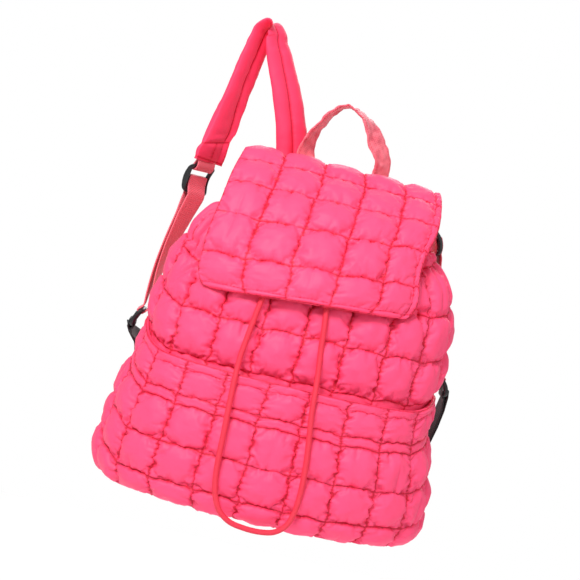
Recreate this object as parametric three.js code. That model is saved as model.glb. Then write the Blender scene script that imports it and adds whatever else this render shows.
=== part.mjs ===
// A quilted puffer backpack, held up by its left shoulder strap as it hangs from a hook.
//
// Millimetres, +Z up. The bag itself is upright, with its front towards -Y and its wearer's side towards +Y.
// Sizes below are from the middle of the bag's base; the last group moves the whole bag so that the
// origin is inside the fold of the strap where the hook holds it.
//
// Padded cloth is a sheet with a stitched surface in its middle. Between the stitch lines the outer
// face puffs out, and the lining stays on the stitched surface, so every sheet is a closed solid.
import * as THREE from "three";

// Bag shell, measured on its stitched surface
const SHELL_WIDTH = 302;
const SHELL_FRONT = 98; // from the side line forwards to the front
const SHELL_BACK = 44; // from the side line back to the wearer's side
const SHELL_HEIGHT = 300; // base to mouth
const FRONT_ROUNDNESS = 2.5; // exponent of the plan's front half: 2 is an ellipse
const BACK_ROUNDNESS = 5; // and of its back half, which is nearly flat
const CORNER_TURN = 45; // degrees round the plan from the side line to the back corner seams
const BACK_RISE = 26; // top of the back panel over the mouth
const BACK_HEIGHT = SHELL_HEIGHT + BACK_RISE;

// Padding
const WALL = 3; // thickness at a line of stitches
const PUFF = 8.5; // how far a full square stands out between its stitches
const FLAT_PUFF = 0.8; // the same where another layer presses on it
const QUILT_PITCH = 43;
const SEAM_GAP = 0.4; // between pieces that are sewn together
const CORNER_GAP = 2; // between the shell and the back panel, where piping fills the seam
const GATHER_DEPTH = 3; // folds that the drawcord pulls into the mouth

// Rows of quilting sit higher at the sides than in front
const ROW_RISE_LEFT = 20;
const ROW_RISE_RIGHT = 13;

const SHELL_COLUMNS = 12;
const SHELL_HEM = 12; // casing of the drawcord
const BACK_COLUMNS = 6;
const BACK_HEM = 22; // plain band where the straps are sewn on
const BASE_THICKNESS = 7;
const BOTTOM_EDGE = BASE_THICKNESS + 3 * SEAM_GAP; // where shell, pocket and back panel begin

// The bag hangs a little askew: its top is pulled to one side, and the flap's hem the other way.
const TOP_SHIFT = 11;
const LEAN_FROM = 100; // height where the shift begins
const FLAP_HEM_SHIFT = -2;
const FLAP_HEM_SLANT = 15; // how much lower the hem's left end is than its right end

// Front pocket
const POCKET_HEIGHT = 142;
const POCKET_COLUMNS = 13;
const POCKET_ROOM_FRONT = 17.5; // between the stitched surfaces of pocket and shell
const POCKET_ROOM_SIDE = 10;

// Flap
const FLAP_WIDTH = 202; // at the fold
const FLAP_FLARE = 9; // wider at the hem
const FLAP_TALL = 129; // hem to crown
const FLAP_COLUMNS = 5;
const FLAP_HEM_ROW = 31;
const FLAP_CORNER = 26; // radius of the two lower corners
const FLAP_WRAP = 22; // how far the sides of the hem fall back round the bag

// Webbing and pads
const WEBBING_WIDTH = 25;
const WEBBING = 1.5; // thickness
const PAD_WIDTH = 40;
const PAD_THICKNESS = 13;
const PAD_CUP = 3; // the pad's edges curl towards the shoulder
const THREAD_GAP = 0.35; // between a bar and the webbing round it
const HANDLE_THICKNESS = 2;

// Slider and lower ring, moulded for the webbing
const BAR = 4.5;
const BAR_THICKNESS = 4;
const SIDE_ROOM = 0.75; // webbing to side bar
const SLIDER_UPPER_SLOT = 9;
const SLIDER_LOWER_SLOT = 7.5;
const SLIDER_BOW = 5;
const RING_SLOT = 13;
const RING_BOW = 3;

// Drawcord
const CORD_DIAMETER = 5.5;

// How the straps and the handle lie
const STRAP_RISE = 152; // top of the left strap's fold over the back panel
const STRAP_DROP = 98; // lowest bend of the right strap under the top of the back panel
const HANDLE_RISE = 85;
const HOOK_PLACE = { side: -0.626, behind: 1.409, rise: 0.941 }; // inside the fold of the left strap

const PINK = { color: 0xff4f86, roughness: 0.62, metalness: 0 };
const STRAP_PINK = { color: 0xff4272, roughness: 0.6, metalness: 0 };
const WEBBING_PINK = { color: 0xe8506a, roughness: 0.7, metalness: 0 };
const CORD_RED = { color: 0xf23c4c, roughness: 0.55, metalness: 0 };
const BLACK_PLASTIC = { color: 0x1b1b1d, roughness: 0.35, metalness: 0 };
const BLACK_WEBBING = { color: 0x202022, roughness: 0.75, metalness: 0 };

const vec = (x, y, z) => new THREE.Vector3(x, y, z);
const lerp = THREE.MathUtils.lerp;
const smooth = (x, low, high) => THREE.MathUtils.smoothstep(x, low, high);

function piece(name, geometry, finish) {
  const mesh = new THREE.Mesh(geometry, new THREE.MeshStandardMaterial(finish));
  mesh.name = name;
  return mesh;
}

function solidGeometry(points, triangles) {
  const geometry = new THREE.BufferGeometry();
  geometry.setAttribute("position", new THREE.Float32BufferAttribute(points.flatMap((p) => [p.x, p.y, p.z]), 3));
  geometry.setIndex(triangles.flat());
  return geometry;
}

// One column of a table of sections as a smooth curve of its "at" column.
function readTable(table, column, at) {
  const last = table.length - 1;
  if (at <= table[0].at) return table[0][column];
  if (at >= table[last].at) return table[last][column];
  const i = table.findIndex((row) => row.at > at) - 1;
  const slope = (k) => {
    const a = table[Math.max(k - 1, 0)];
    const b = table[Math.min(k + 1, last)];
    return (b[column] - a[column]) / (b.at - a.at);
  };
  const span = table[i + 1].at - table[i].at;
  const t = (at - table[i].at) / span;
  const t2 = t * t;
  const t3 = t2 * t;
  return (
    (2 * t3 - 3 * t2 + 1) * table[i][column] +
    (t3 - 2 * t2 + t) * span * slope(i) +
    (3 * t2 - 2 * t3) * table[i + 1][column] +
    (t3 - t2) * span * slope(i + 1)
  );
}

// A quilted sheet over surface(u, v), with its outside where u runs to the right and v upwards.
// columns and rows are the stitch lines, puff(width, height, column, row) is a square's height, and each square has
// cut x cut outer facets and liningAcross x liningUp inner ones.
function quiltedSheet({ surface, columns, rows, puff, liningAcross = 1, liningUp = 1 }) {
  const cut = 3;
  const across = (columns.length - 1) * cut;
  const up = (rows.length - 1) * cut;
  const step = cut / liningAcross;
  const rise = cut / liningUp;
  const line = (stops, k) => {
    const i = Math.min(Math.floor(k / cut), stops.length - 2);
    return lerp(stops[i], stops[i + 1], k / cut - i);
  };
  const crown = (k) => Math.sin((Math.PI * (k % cut)) / cut) ** 0.6;
  const small = 1e-3;
  const frame = (u, v) => {
    const p = surface(u, v);
    const alongU = surface(u + small, v).sub(surface(u - small, v));
    const alongV = surface(u, v + small).sub(surface(u, v - small));
    return { p, n: alongU.cross(alongV).normalize() };
  };
  const points = [];
  const outer = [];
  const inner = [];
  for (let j = 0; j <= up; j++) {
    outer.push([]);
    inner.push([]);
    for (let i = 0; i <= across; i++) {
      const { p, n } = frame(line(columns, i), line(rows, j));
      const c = Math.min(Math.floor(i / cut), columns.length - 2);
      const r = Math.min(Math.floor(j / cut), rows.length - 2);
      const middle = (rows[r] + rows[r + 1]) / 2;
      const width = surface(columns[c], middle).distanceTo(surface(columns[c + 1], middle));
      const height = surface(columns[c], rows[r]).distanceTo(surface(columns[c], rows[r + 1]));
      const out = puff(width, height, c, r) * crown(i) * crown(j);
      outer[j][i] = points.push(p.clone().addScaledVector(n, WALL / 2 + out)) - 1;
      if (i % step === 0 && j % rise === 0) inner[j][i] = points.push(p.clone().addScaledVector(n, -WALL / 2)) - 1;
    }
  }
  const triangles = [];
  const quad = (a, b, c, d) => triangles.push([a, b, c], [a, c, d]);
  for (let j = 0; j < up; j++)
    for (let i = 0; i < across; i++) quad(outer[j][i], outer[j][i + 1], outer[j + 1][i + 1], outer[j + 1][i]);
  for (let j = 0; j < up; j += rise)
    for (let i = 0; i < across; i += step)
      quad(inner[j][i], inner[j + rise][i], inner[j + rise][i + step], inner[j][i + step]);
  // The edge faces close the sheet: a fan from each lining point over the outer points beside it.
  const fan = (from, to, others) => {
    triangles.push([from, to, others[0]]);
    for (let k = 1; k < others.length; k++) triangles.push([from, others[k - 1], others[k]]);
  };
  const upTo = (count) => Array.from({ length: count + 1 }, (_, k) => k);
  for (let i = 0; i < across; i += step) {
    fan(inner[0][i], inner[0][i + step], upTo(step).map((k) => outer[0][i + step - k]));
    fan(inner[up][i + step], inner[up][i], upTo(step).map((k) => outer[up][i + k]));
  }
  for (let j = 0; j < up; j += rise) {
    fan(inner[j + rise][0], inner[j][0], upTo(rise).map((k) => outer[j + k][0]));
    fan(inner[j][across], inner[j + rise][across], upTo(rise).map((k) => outer[j + rise - k][across]));
  }
  return solidGeometry(points, triangles);
}

const evenly = (count) => Array.from({ length: count + 1 }, (_, k) => k / count);

// A square's height grows with its shorter side, up to a full square.
const fullPuff = (width, height) => PUFF * Math.min(1, Math.min(width, height) / QUILT_PITCH);

// Plan of the bag at an angle in degrees, 0 at the wearer's left hand and 270 at the front.
function planPoint(angle, halfWidth, front, back) {
  const c = Math.cos(THREE.MathUtils.degToRad(angle));
  const s = Math.sin(THREE.MathUtils.degToRad(angle));
  const roundness = s > 0 ? BACK_ROUNDNESS : FRONT_ROUNDNESS;
  const reach = s > 0 ? back : front;
  return {
    x: halfWidth * Math.sign(c) * Math.abs(c) ** (2 / roundness),
    y: reach * Math.sign(s) * Math.abs(s) ** (2 / roundness),
  };
}

// Angles that divide the plan between two angles into equal lengths, with a gap left at both ends.
function evenAngles(from, to, halfWidth, front, back, gap) {
  const samples = 720;
  const angles = [from];
  const lengths = [0];
  let before = planPoint(from, halfWidth, front, back);
  for (let k = 1; k <= samples; k++) {
    const angle = lerp(from, to, k / samples);
    const here = planPoint(angle, halfWidth, front, back);
    lengths.push(lengths[k - 1] + Math.hypot(here.x - before.x, here.y - before.y));
    angles.push(angle);
    before = here;
  }
  const total = lengths[samples];
  return (share) => {
    const wanted = THREE.MathUtils.clamp(lerp(gap, total - gap, share), 0, total);
    const k = Math.max(1, lengths.findIndex((length) => length >= wanted));
    return lerp(angles[k - 1], angles[k], (wanted - lengths[k - 1]) / (lengths[k] - lengths[k - 1]));
  };
}

// Shares of the shell's height, half width and front reach, from the base up.
const SHELL_SECTIONS = [
  { at: 0.023, wide: 0.942, deep: 0.9 },
  { at: 0.053, wide: 0.98, deep: 0.959 },
  { at: 0.087, wide: 1.0, deep: 0.98 },
  { at: 0.213, wide: 0.993, deep: 1.0 },
  { at: 0.347, wide: 0.96, deep: 0.985 },
  { at: 0.5, wide: 0.945, deep: 0.965 },
  { at: 0.62, wide: 0.947, deep: 0.939 },
  { at: 0.753, wide: 0.917, deep: 0.837 },
  { at: 0.833, wide: 0.862, deep: 0.745 },
  { at: 0.88, wide: 0.805, deep: 0.67 },
  { at: 0.92, wide: 0.74, deep: 0.592 },
  { at: 0.967, wide: 0.675, deep: 0.5 },
  { at: 1.0, wide: 0.636, deep: 0.449 },
];
const shellHalfWidth = (z) => (readTable(SHELL_SECTIONS, "wide", z / SHELL_HEIGHT) * SHELL_WIDTH) / 2;
const shellFront = (z) => readTable(SHELL_SECTIONS, "deep", z / SHELL_HEIGHT) * SHELL_FRONT;

// How much higher a row of quilting sits at this place in the plan than at the front.
function rowRise(x, y, halfWidth, front) {
  const towardsSide = smooth(y / front, -0.75, 0);
  const side = smooth(x / halfWidth, -1, 1);
  return lerp(ROW_RISE_LEFT, ROW_RISE_RIGHT, side) * towardsSide;
}

// The rise fades out at the base and at the mouth.
const riseShare = (z) =>
  smooth(z, BOTTOM_EDGE, QUILT_PITCH / 2) * (1 - smooth(z, SHELL_HEIGHT - QUILT_PITCH, SHELL_HEIGHT));
const leanAt = (z) => TOP_SHIFT * smooth(z, LEAN_FROM, BACK_HEIGHT);

// A point on the shell: the row's height at the front is z, and it rises towards the sides.
function shellSurface(angle, z, spread) {
  const flat = planPoint(angle, SHELL_WIDTH / 2, SHELL_FRONT, SHELL_BACK);
  const height = z + rowRise(flat.x, flat.y, SHELL_WIDTH / 2, SHELL_FRONT) * riseShare(z);
  const halfWidth = shellHalfWidth(height) + spread;
  const p = planPoint(angle, halfWidth, shellFront(height) + spread, SHELL_BACK);
  return vec(p.x + leanAt(height), p.y, height);
}

const CORNER_LEFT = 180 - CORNER_TURN;
const CORNER_RIGHT = 360 + CORNER_TURN;
// Heights of the shell's stitch lines in front. One of them lies just behind the pocket's mouth.
const shellRows = [BOTTOM_EDGE];
for (let k = -3; k < 4; k++) shellRows.push(POCKET_HEIGHT + WALL / 2 + k * QUILT_PITCH);
shellRows.push(SHELL_HEIGHT - SHELL_HEM, SHELL_HEIGHT);

// Front and sides: one long piece round the bag, gathered at the mouth into the casing of the drawcord.
function shell() {
  const angleAt = evenAngles(CORNER_LEFT, CORNER_RIGHT, SHELL_WIDTH / 2, SHELL_FRONT, SHELL_BACK, CORNER_GAP / 2);
  return quiltedSheet({
    surface: (u, z) => {
      const inFront = smooth(Math.min(u, 1 - u), 0, 1 / SHELL_COLUMNS);
      const gathered = GATHER_DEPTH * inFront * smooth(z, SHELL_HEIGHT - QUILT_PITCH, SHELL_HEIGHT - SHELL_HEM);
      return shellSurface(angleAt(u), z, -gathered * (0.5 + 0.5 * Math.cos(2 * Math.PI * SHELL_COLUMNS * u)));
    },
    columns: evenly(SHELL_COLUMNS),
    rows: shellRows,
    puff: (width, height, column, row) => (row < 4 ? FLAT_PUFF : fullPuff(width, height)),
  });
}

// Wearer's side: flat, and taller than the mouth, because the flap and straps are sewn to its top.
function backPanel() {
  const angleAt = evenAngles(CORNER_TURN, 180 - CORNER_TURN, SHELL_WIDTH / 2, SHELL_FRONT, SHELL_BACK, CORNER_GAP / 2);
  // Its stitch lines meet the shell's at the corners.
  const rise = (ROW_RISE_LEFT + ROW_RISE_RIGHT) / 2;
  const rows = shellRows.slice(0, -1).map((z) => z + rise * riseShare(z));
  rows.push(BACK_HEIGHT - BACK_HEM, BACK_HEIGHT);
  return quiltedSheet({
    surface: (u, z) => {
      const p = planPoint(angleAt(u), shellHalfWidth(z), shellFront(z), SHELL_BACK);
      return vec(p.x + leanAt(z), p.y, z);
    },
    columns: evenly(BACK_COLUMNS),
    rows,
    puff: (width, height, column, row) => (row < rows.length - 2 ? fullPuff(width, height) : 0),
  });
}

// Base: a plain padded plate under the lower edges of the shell, the pocket and the back panel.
function base() {
  const overhang = 4;
  const bevel = 2.5;
  const corners = 40;
  const outline = new THREE.Shape(
    Array.from({ length: corners }, (_, k) => {
      const p = planPoint(
        (360 * k) / corners,
        shellHalfWidth(BOTTOM_EDGE) + overhang - bevel,
        shellFront(BOTTOM_EDGE) + overhang - bevel,
        SHELL_BACK + overhang - bevel,
      );
      return new THREE.Vector2(p.x, p.y);
    }),
  );
  const geometry = new THREE.ExtrudeGeometry(outline, {
    depth: BASE_THICKNESS - 2 * bevel,
    bevelThickness: bevel,
    bevelSize: bevel,
    bevelSegments: 1,
  });
  return geometry.translate(0, 0, bevel);
}

// Shares of the pocket's height, and of its room at the sides and in front, from the base up.
const POCKET_SECTIONS = [
  { at: 0.05, side: 0.8, front: 0.5 },
  { at: 0.1, side: 0.95, front: 0.76 },
  { at: 0.18, side: 1.0, front: 0.94 },
  { at: 0.43, side: 0.85, front: 1.0 },
  { at: 0.7, side: 0.7, front: 1.0 },
  { at: 0.88, side: 0.6, front: 0.97 },
  { at: 1.0, side: 0.55, front: 1.0 },
];
// Stitch lines as shares of the pocket's height: the two highest squares are the elastic band at its mouth.
const POCKET_ROWS = [
  { at: BOTTOM_EDGE / POCKET_HEIGHT },
  { at: 0.183 },
  { at: 0.43 },
  { at: 0.694 },
  { at: 0.76 },
  { at: 0.93 },
  { at: 1.0 },
];

// Front pocket: a second quilted layer that stands off the lower half of the shell.
function pocket() {
  const halfWidth = SHELL_WIDTH / 2 + POCKET_ROOM_SIDE;
  const front = SHELL_FRONT + POCKET_ROOM_FRONT;
  const angleAt = evenAngles(CORNER_LEFT, CORNER_RIGHT, halfWidth, front, SHELL_BACK, SEAM_GAP / 2);
  return quiltedSheet({
    surface: (u, share) => {
      const angle = angleAt(u);
      const z = share * POCKET_HEIGHT;
      const flat = planPoint(angle, halfWidth, front, SHELL_BACK);
      const height = z + rowRise(flat.x, flat.y, halfWidth, front) * smooth(z, BOTTOM_EDGE, QUILT_PITCH / 2);
      const p = planPoint(
        angle,
        shellHalfWidth(height) + POCKET_ROOM_SIDE * readTable(POCKET_SECTIONS, "side", share),
        shellFront(height) + POCKET_ROOM_FRONT * readTable(POCKET_SECTIONS, "front", share),
        SHELL_BACK + WALL + 2,
      );
      return vec(p.x + leanAt(height), p.y, height);
    },
    columns: evenly(POCKET_COLUMNS),
    rows: POCKET_ROWS.map((row) => row.at),
    puff: fullPuff,
    liningAcross: 3,
  });
}

const hingeY = SHELL_BACK;
const hingeZ = BACK_HEIGHT + SEAM_GAP;
// The flap's profile from hem to hinge: share of its reach in front of the hinge, share of its height over the hem.
const FLAP_PROFILE = [
  { reach: 1.0, height: 0.0 },
  { reach: 0.93, height: 0.236 },
  { reach: 0.785, height: 0.52 },
  { reach: 0.585, height: 0.752 },
  { reach: 0.34, height: 0.93 },
  { reach: 0.2, height: 0.99 },
  { reach: 0.11, height: 1.0 },
  { reach: 0.035, height: 0.95 },
  { reach: 0.003, height: 0.88 },
  { reach: 0.0, height: 0.82 },
];
const flapHemZ = hingeZ - FLAP_PROFILE[FLAP_PROFILE.length - 1].height * FLAP_TALL;
const flapReach = SHELL_BACK + shellFront(flapHemZ) + PUFF + WALL + CORD_DIAMETER + 2.5;

// Flap: sewn to the top of the back panel, folded over the mouth, and free in front.
function flap() {
  const profile = new THREE.CatmullRomCurve3(
    FLAP_PROFILE.map((row) => vec(0, hingeY - row.reach * flapReach, flapHemZ + row.height * FLAP_TALL)),
    false,
    "centripetal",
  );
  profile.arcLengthDivisions = 400;
  const length = profile.getLength();
  const rows = [0, FLAP_HEM_ROW];
  while (rows[rows.length - 1] + 1.2 * QUILT_PITCH < length) rows.push(rows[rows.length - 1] + QUILT_PITCH - 1);
  rows.push(length);
  return quiltedSheet({
    surface: (u, along) => {
      const share = THREE.MathUtils.clamp(along / length, 0, 1);
      const p = profile.getPointAt(share);
      p.addScaledVector(profile.getTangentAt(share), along - share * length);
      const across = 2 * u - 1;
      const hemward = 1 - smooth(share, 0, 0.8);
      // The hem's two corners are rounded by drawing the lowest rows in.
      const fromHem = Math.max(0, FLAP_CORNER - along);
      const drawnIn = FLAP_CORNER - Math.sqrt(Math.max(0, FLAP_CORNER ** 2 - fromHem ** 2));
      const halfWidth = FLAP_WIDTH / 2 + FLAP_FLARE * hemward - 0.6 * drawnIn;
      const side = Math.abs(across) ** 2.5;
      const x = across * halfWidth + lerp(TOP_SHIFT, FLAP_HEM_SHIFT, hemward);
      const slant = (across * FLAP_HEM_SLANT * hemward) / 2;
      return vec(x, p.y + FLAP_WRAP * hemward * side, p.z + slant);
    },
    columns: evenly(FLAP_COLUMNS),
    rows: rows,
    puff: (width, height, column, row) => (row < rows.length - 2 ? fullPuff(width, height) : 0),
    liningUp: 3,
  });
}

// A strip through stations, each with a middle p, a unit vector w across its width, and section(station), a ring of
// points {across, out} that run round the strip. A closed strip joins its end to its start.
function strip(stations, section, closed = false) {
  const points = [];
  const rings = stations.map((station, k) => {
    const before = stations[closed ? (k + stations.length - 1) % stations.length : Math.max(k - 1, 0)];
    const after = stations[closed ? (k + 1) % stations.length : Math.min(k + 1, stations.length - 1)];
    const along = after.p.clone().sub(before.p).normalize();
    const w = station.w.clone().addScaledVector(along, -station.w.dot(along)).normalize();
    const n = w.clone().cross(along);
    return section(station).map(
      ({ across, out }) => points.push(station.p.clone().addScaledVector(w, across).addScaledVector(n, out)) - 1,
    );
  });
  const triangles = [];
  const sides = rings[0].length;
  const joins = closed ? rings.length : rings.length - 1;
  for (let k = 0; k < joins; k++) {
    const a = rings[k];
    const b = rings[(k + 1) % rings.length];
    for (let i = 0; i < sides; i++) {
      const j = (i + 1) % sides;
      triangles.push([a[i], b[j], a[j]], [a[i], b[i], b[j]]);
    }
  }
  if (!closed)
    for (const [k, ring] of [rings[0], rings[rings.length - 1]].entries()) {
      const middle = points.push(stations[k === 0 ? 0 : stations.length - 1].p.clone()) - 1;
      ring.forEach((a, i) => {
        const b = ring[(i + 1) % sides];
        triangles.push(k === 0 ? [middle, a, b] : [middle, b, a]);
      });
    }
  return solidGeometry(points, triangles);
}

// A place round the bag: side is a share of half the shell's width, behind of its depth behind the side line, and
// height of the back panel's height.
const placeOf = ({ side, behind, height }) => vec((side * SHELL_WIDTH) / 2, behind * SHELL_BACK, height * BACK_HEIGHT);
// The same with rise, a share of a length over the top of the back panel.
const overTop = ({ side, behind, rise }, length) => placeOf({ side, behind, height: 1 + (rise * length) / BACK_HEIGHT });

// Stations of a route, a table of places whose turn is the angle in degrees from +X towards +Y of the strip's width.
function stationsOf(route, length, perSpan) {
  const curve = new THREE.CatmullRomCurve3(route.map((row) => row.p ?? overTop(row, length)), false, "centripetal");
  const count = (route.length - 1) * perSpan;
  return Array.from({ length: count + 1 }, (_, k) => {
    const place = k / perSpan;
    const i = Math.min(Math.floor(place), route.length - 2);
    const mix = (column) => lerp(route[i][column], route[i + 1][column], place - i);
    const turn = THREE.MathUtils.degToRad(mix("turn"));
    return { p: curve.getPoint(k / count), w: vec(Math.cos(turn), Math.sin(turn), 0), full: mix("full") };
  });
}

const tape = (width, thickness) => () => [
  { across: -width / 2, out: -thickness / 2 },
  { across: width / 2, out: -thickness / 2 },
  { across: width / 2, out: thickness / 2 },
  { across: -width / 2, out: thickness / 2 },
];

// A pad's section: two soft rolls side by side, with a line of stitches between them.
function padSection({ full }) {
  const shares = [-1, -0.8, -0.5, -0.2, 0, 0.2, 0.5, 0.8, 1];
  const half = PAD_WIDTH / 2;
  const thin = WALL / 2;
  const swell = (share) => thin + (Math.max(PAD_THICKNESS * full, WALL) / 2 - thin) * Math.sin(Math.PI * Math.abs(share)) ** 0.6;
  const cup = (share) => -PAD_CUP * Math.max(full - 0.3, 0) * share * share;
  const near = shares.map((share) => ({ across: share * half, out: cup(share) - swell(share) }));
  const far = shares.map((share) => ({ across: share * half, out: cup(share) + swell(share) })).reverse();
  return [...near, ...far];
}

// Layers on the back panel's hem, from inside out: the hem, the handle, the pads.
const hemFace = SHELL_BACK + WALL / 2;
const handleBehind = (hemFace + SEAM_GAP + HANDLE_THICKNESS / 2) / SHELL_BACK;
const padRoot = 0.3; // a pad is sewn flat at its root, to this share of its thickness
const padBehind = (hemFace + 2 * SEAM_GAP + HANDLE_THICKNESS + (PAD_THICKNESS * padRoot) / 2) / SHELL_BACK;

const KEEPER = 9; // from the slider's top bar to the pad

// Sliders and rings. across is the direction of the webbing's width and up the direction of the strap.
function frameAt({ side, behind, height, turn, lean }) {
  const angle = THREE.MathUtils.degToRad(turn);
  const across = vec(Math.cos(angle), Math.sin(angle), 0);
  const tilt = THREE.MathUtils.degToRad(lean);
  const up = vec(Math.sin(tilt), 0, Math.cos(tilt));
  up.addScaledVector(across, -up.dot(across)).normalize();
  const out = across.clone().cross(up);
  return { origin: placeOf({ side, behind, height }), across, up, out };
}
const SLIDER_HEIGHT = 3 * BAR + SLIDER_UPPER_SLOT + SLIDER_LOWER_SLOT;
const RING_HEIGHT = 2 * BAR + RING_SLOT;
const HARDWARE = {
  left: {
    slider: frameAt({ side: -0.858, behind: 1.114, height: 0.939, turn: -133, lean: 12 }),
    ring: frameAt({ side: -1.040, behind: 1.000, height: 0.477, turn: -90, lean: 25 }),
  },
  right: {
    slider: frameAt({ side: 0.801, behind: 1.568, height: 0.929, turn: 97, lean: -28 }),
    ring: frameAt({ side: 1.086, behind: 1.045, height: 0.491, turn: 90, lean: -29 }),
  },
};

const inFrame = ({ origin, across, up, out }, side, height, depth) =>
  origin.clone().addScaledVector(across, side).addScaledVector(up, height).addScaledVector(out, depth);
// A pad's last two stations lie straight over its slider.
const padTail = ({ slider: frame }, turn) =>
  [12, 0].map((more) => ({ p: inFrame(frame, 0, SLIDER_HEIGHT / 2 + KEEPER + more, 0), turn, full: 0.5 }));

const ROUTES = {
  leftPad: [
    { side: -0.272, behind: padBehind, rise: -0.132, turn: 0, full: padRoot },
    { side: -0.272, behind: padBehind, rise: -0.039, turn: 0, full: padRoot },
    { side: -0.272, behind: padBehind + 0.027, rise: 0.033, turn: 8, full: 0.5 },
    { side: -0.285, behind: 1.25, rise: 0.158, turn: 30, full: 0.9 },
    { side: -0.344, behind: 1.318, rise: 0.368, turn: 48, full: 1 },
    { side: -0.43, behind: 1.364, rise: 0.592, turn: 51, full: 1 },
    { side: -0.523, behind: 1.409, rise: 0.789, turn: 51, full: 1 },
    { side: -0.57, behind: 1.409, rise: 0.895, turn: 51, full: 0.8 },
    { side: -0.579, behind: 1.409, rise: 0.951, turn: 51, full: 0.62 },
    { side: -0.626, behind: 1.409, rise: 1, turn: 51, full: 0.62 },
    { side: -0.672, behind: 1.409, rise: 0.951, turn: 51, full: 0.62 },
    { side: -0.685, behind: 1.398, rise: 0.895, turn: 51, full: 0.8 },
    { side: -0.712, behind: 1.364, rise: 0.737, turn: 51, full: 1 },
    { side: -0.752, behind: 1.318, rise: 0.474, turn: 51, full: 1 },
    { side: -0.791, behind: 1.239, rise: 0.23, turn: 49, full: 1 },
    ...padTail(HARDWARE.left, 47),
  ],
  rightPad: [
    { side: 0.437, behind: padBehind, rise: -0.204, turn: 0, full: padRoot },
    { side: 0.437, behind: padBehind, rise: -0.082, turn: 0, full: padRoot },
    { side: 0.437, behind: padBehind + 0.091, rise: 0.01, turn: 4, full: 0.5 },
    { side: 0.417, behind: 1.477, rise: 0.082, turn: 18, full: 0.8 },
    { side: 0.404, behind: 1.795, rise: 0.082, turn: 40, full: 1 },
    { side: 0.397, behind: 2.023, rise: -0.051, turn: 60, full: 1 },
    { side: 0.391, behind: 2.114, rise: -0.306, turn: 75, full: 1 },
    { side: 0.391, behind: 2.136, rise: -0.653, turn: 85, full: 1 },
    { side: 0.424, behind: 2.136, rise: -0.898, turn: 89, full: 1 },
    { side: 0.517, behind: 2.114, rise: -1, turn: 90, full: 1 },
    { side: 0.609, behind: 2.068, rise: -0.898, turn: 91, full: 1 },
    { side: 0.642, behind: 1.977, rise: -0.612, turn: 92, full: 1 },
    { side: 0.642, behind: 1.818, rise: -0.286, turn: 94, full: 1 },
    { side: 0.649, behind: 1.682, rise: -0.061, turn: 96, full: 0.9 },
    ...padTail(HARDWARE.right, 97),
  ],
  handle: [
    { side: -0.185, behind: handleBehind, rise: -0.235, turn: 0, full: 1 },
    { side: -0.185, behind: handleBehind, rise: -0.024, turn: 0, full: 1 },
    { side: -0.192, behind: handleBehind + 0.034, rise: 0.224, turn: 8, full: 1 },
    { side: -0.179, behind: 1.136, rise: 0.494, turn: 40, full: 1 },
    { side: -0.126, behind: 1.114, rise: 0.776, turn: 70, full: 1 },
    { side: -0.026, behind: 1.068, rise: 0.976, turn: 82, full: 1 },
    { side: 0.066, behind: 1.045, rise: 1, turn: 86, full: 1 },
    { side: 0.185, behind: 1.045, rise: 0.871, turn: 80, full: 1 },
    { side: 0.278, behind: 1.091, rise: 0.635, turn: 60, full: 1 },
    { side: 0.325, behind: 1.136, rise: 0.424, turn: 30, full: 1 },
    { side: 0.325, behind: handleBehind + 0.034, rise: 0.224, turn: 6, full: 1 },
    { side: 0.318, behind: handleBehind, rise: -0.024, turn: 0, full: 1 },
    { side: 0.318, behind: handleBehind, rise: -0.235, turn: 0, full: 1 },
  ],
  // The run between slider and ring, and how far its two layers stand apart
  leftWebbing: [
    { side: -0.901, behind: 1.091, height: 0.822, turn: -128, apart: 3 },
    { side: -0.950, behind: 1.068, height: 0.724, turn: -116, apart: 3 },
    { side: -0.987, behind: 1.068, height: 0.626, turn: -102, apart: 4 },
  ],
  rightWebbing: [
    { side: 0.887, behind: 1.500, height: 0.822, turn: 97, apart: 3 },
    { side: 0.947, behind: 1.386, height: 0.724, turn: 96, apart: 3 },
    { side: 0.993, behind: 1.227, height: 0.626, turn: 94, apart: 4 },
  ],
};

const bowed = (bow, height, t) => bow * (1 - ((2 * t) / height) ** 2);

// A moulded frame of bars round slots, bowed outwards in the middle.
function moulded(frame, height, slots, bow) {
  const halfWidth = WEBBING_WIDTH / 2 + SIDE_ROOM + BAR;
  const halfHeight = height / 2;
  const edge = 0.8;
  const rounded = (target, w, low, high, radius, steps) => {
    const corner = (x, y, from) => {
      for (let k = 0; k <= 3; k++) {
        const angle = ((from + 30 * k) * Math.PI) / 180;
        const point = [x + radius * Math.cos(angle), y + radius * Math.sin(angle)];
        if (k === 0 && from === 0) target.moveTo(...point);
        else target.lineTo(...point);
      }
    };
    const sideRun = (x, from, to) => {
      for (let k = 1; k < steps; k++) target.lineTo(x, lerp(from, to, k / steps));
    };
    corner(w - radius, high - radius, 0);
    corner(-w + radius, high - radius, 90);
    sideRun(-w, high - radius, low + radius);
    corner(-w + radius, low + radius, 180);
    corner(w - radius, low + radius, 270);
    sideRun(w, low + radius, high - radius);
    target.closePath();
    return target;
  };
  const outline = rounded(new THREE.Shape(), halfWidth - edge, -halfHeight + edge, halfHeight - edge, 4, 4);
  for (const { low, high } of slots)
    outline.holes.push(rounded(new THREE.Path(), halfWidth - BAR + edge, low - edge, high + edge, 1.5, 1));
  const geometry = new THREE.ExtrudeGeometry(outline, {
    depth: BAR_THICKNESS - 2 * edge,
    bevelThickness: edge,
    bevelSize: edge,
    bevelSegments: 1,
  });
  const place = geometry.getAttribute("position");
  for (let k = 0; k < place.count; k++) {
    const t = place.getY(k);
    const depth = place.getZ(k) - BAR_THICKNESS / 2 + edge + bowed(bow, height, t);
    const p = inFrame(frame, place.getX(k), t, depth);
    place.setXYZ(k, p.x, p.y, p.z);
  }
  return geometry;
}

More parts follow.
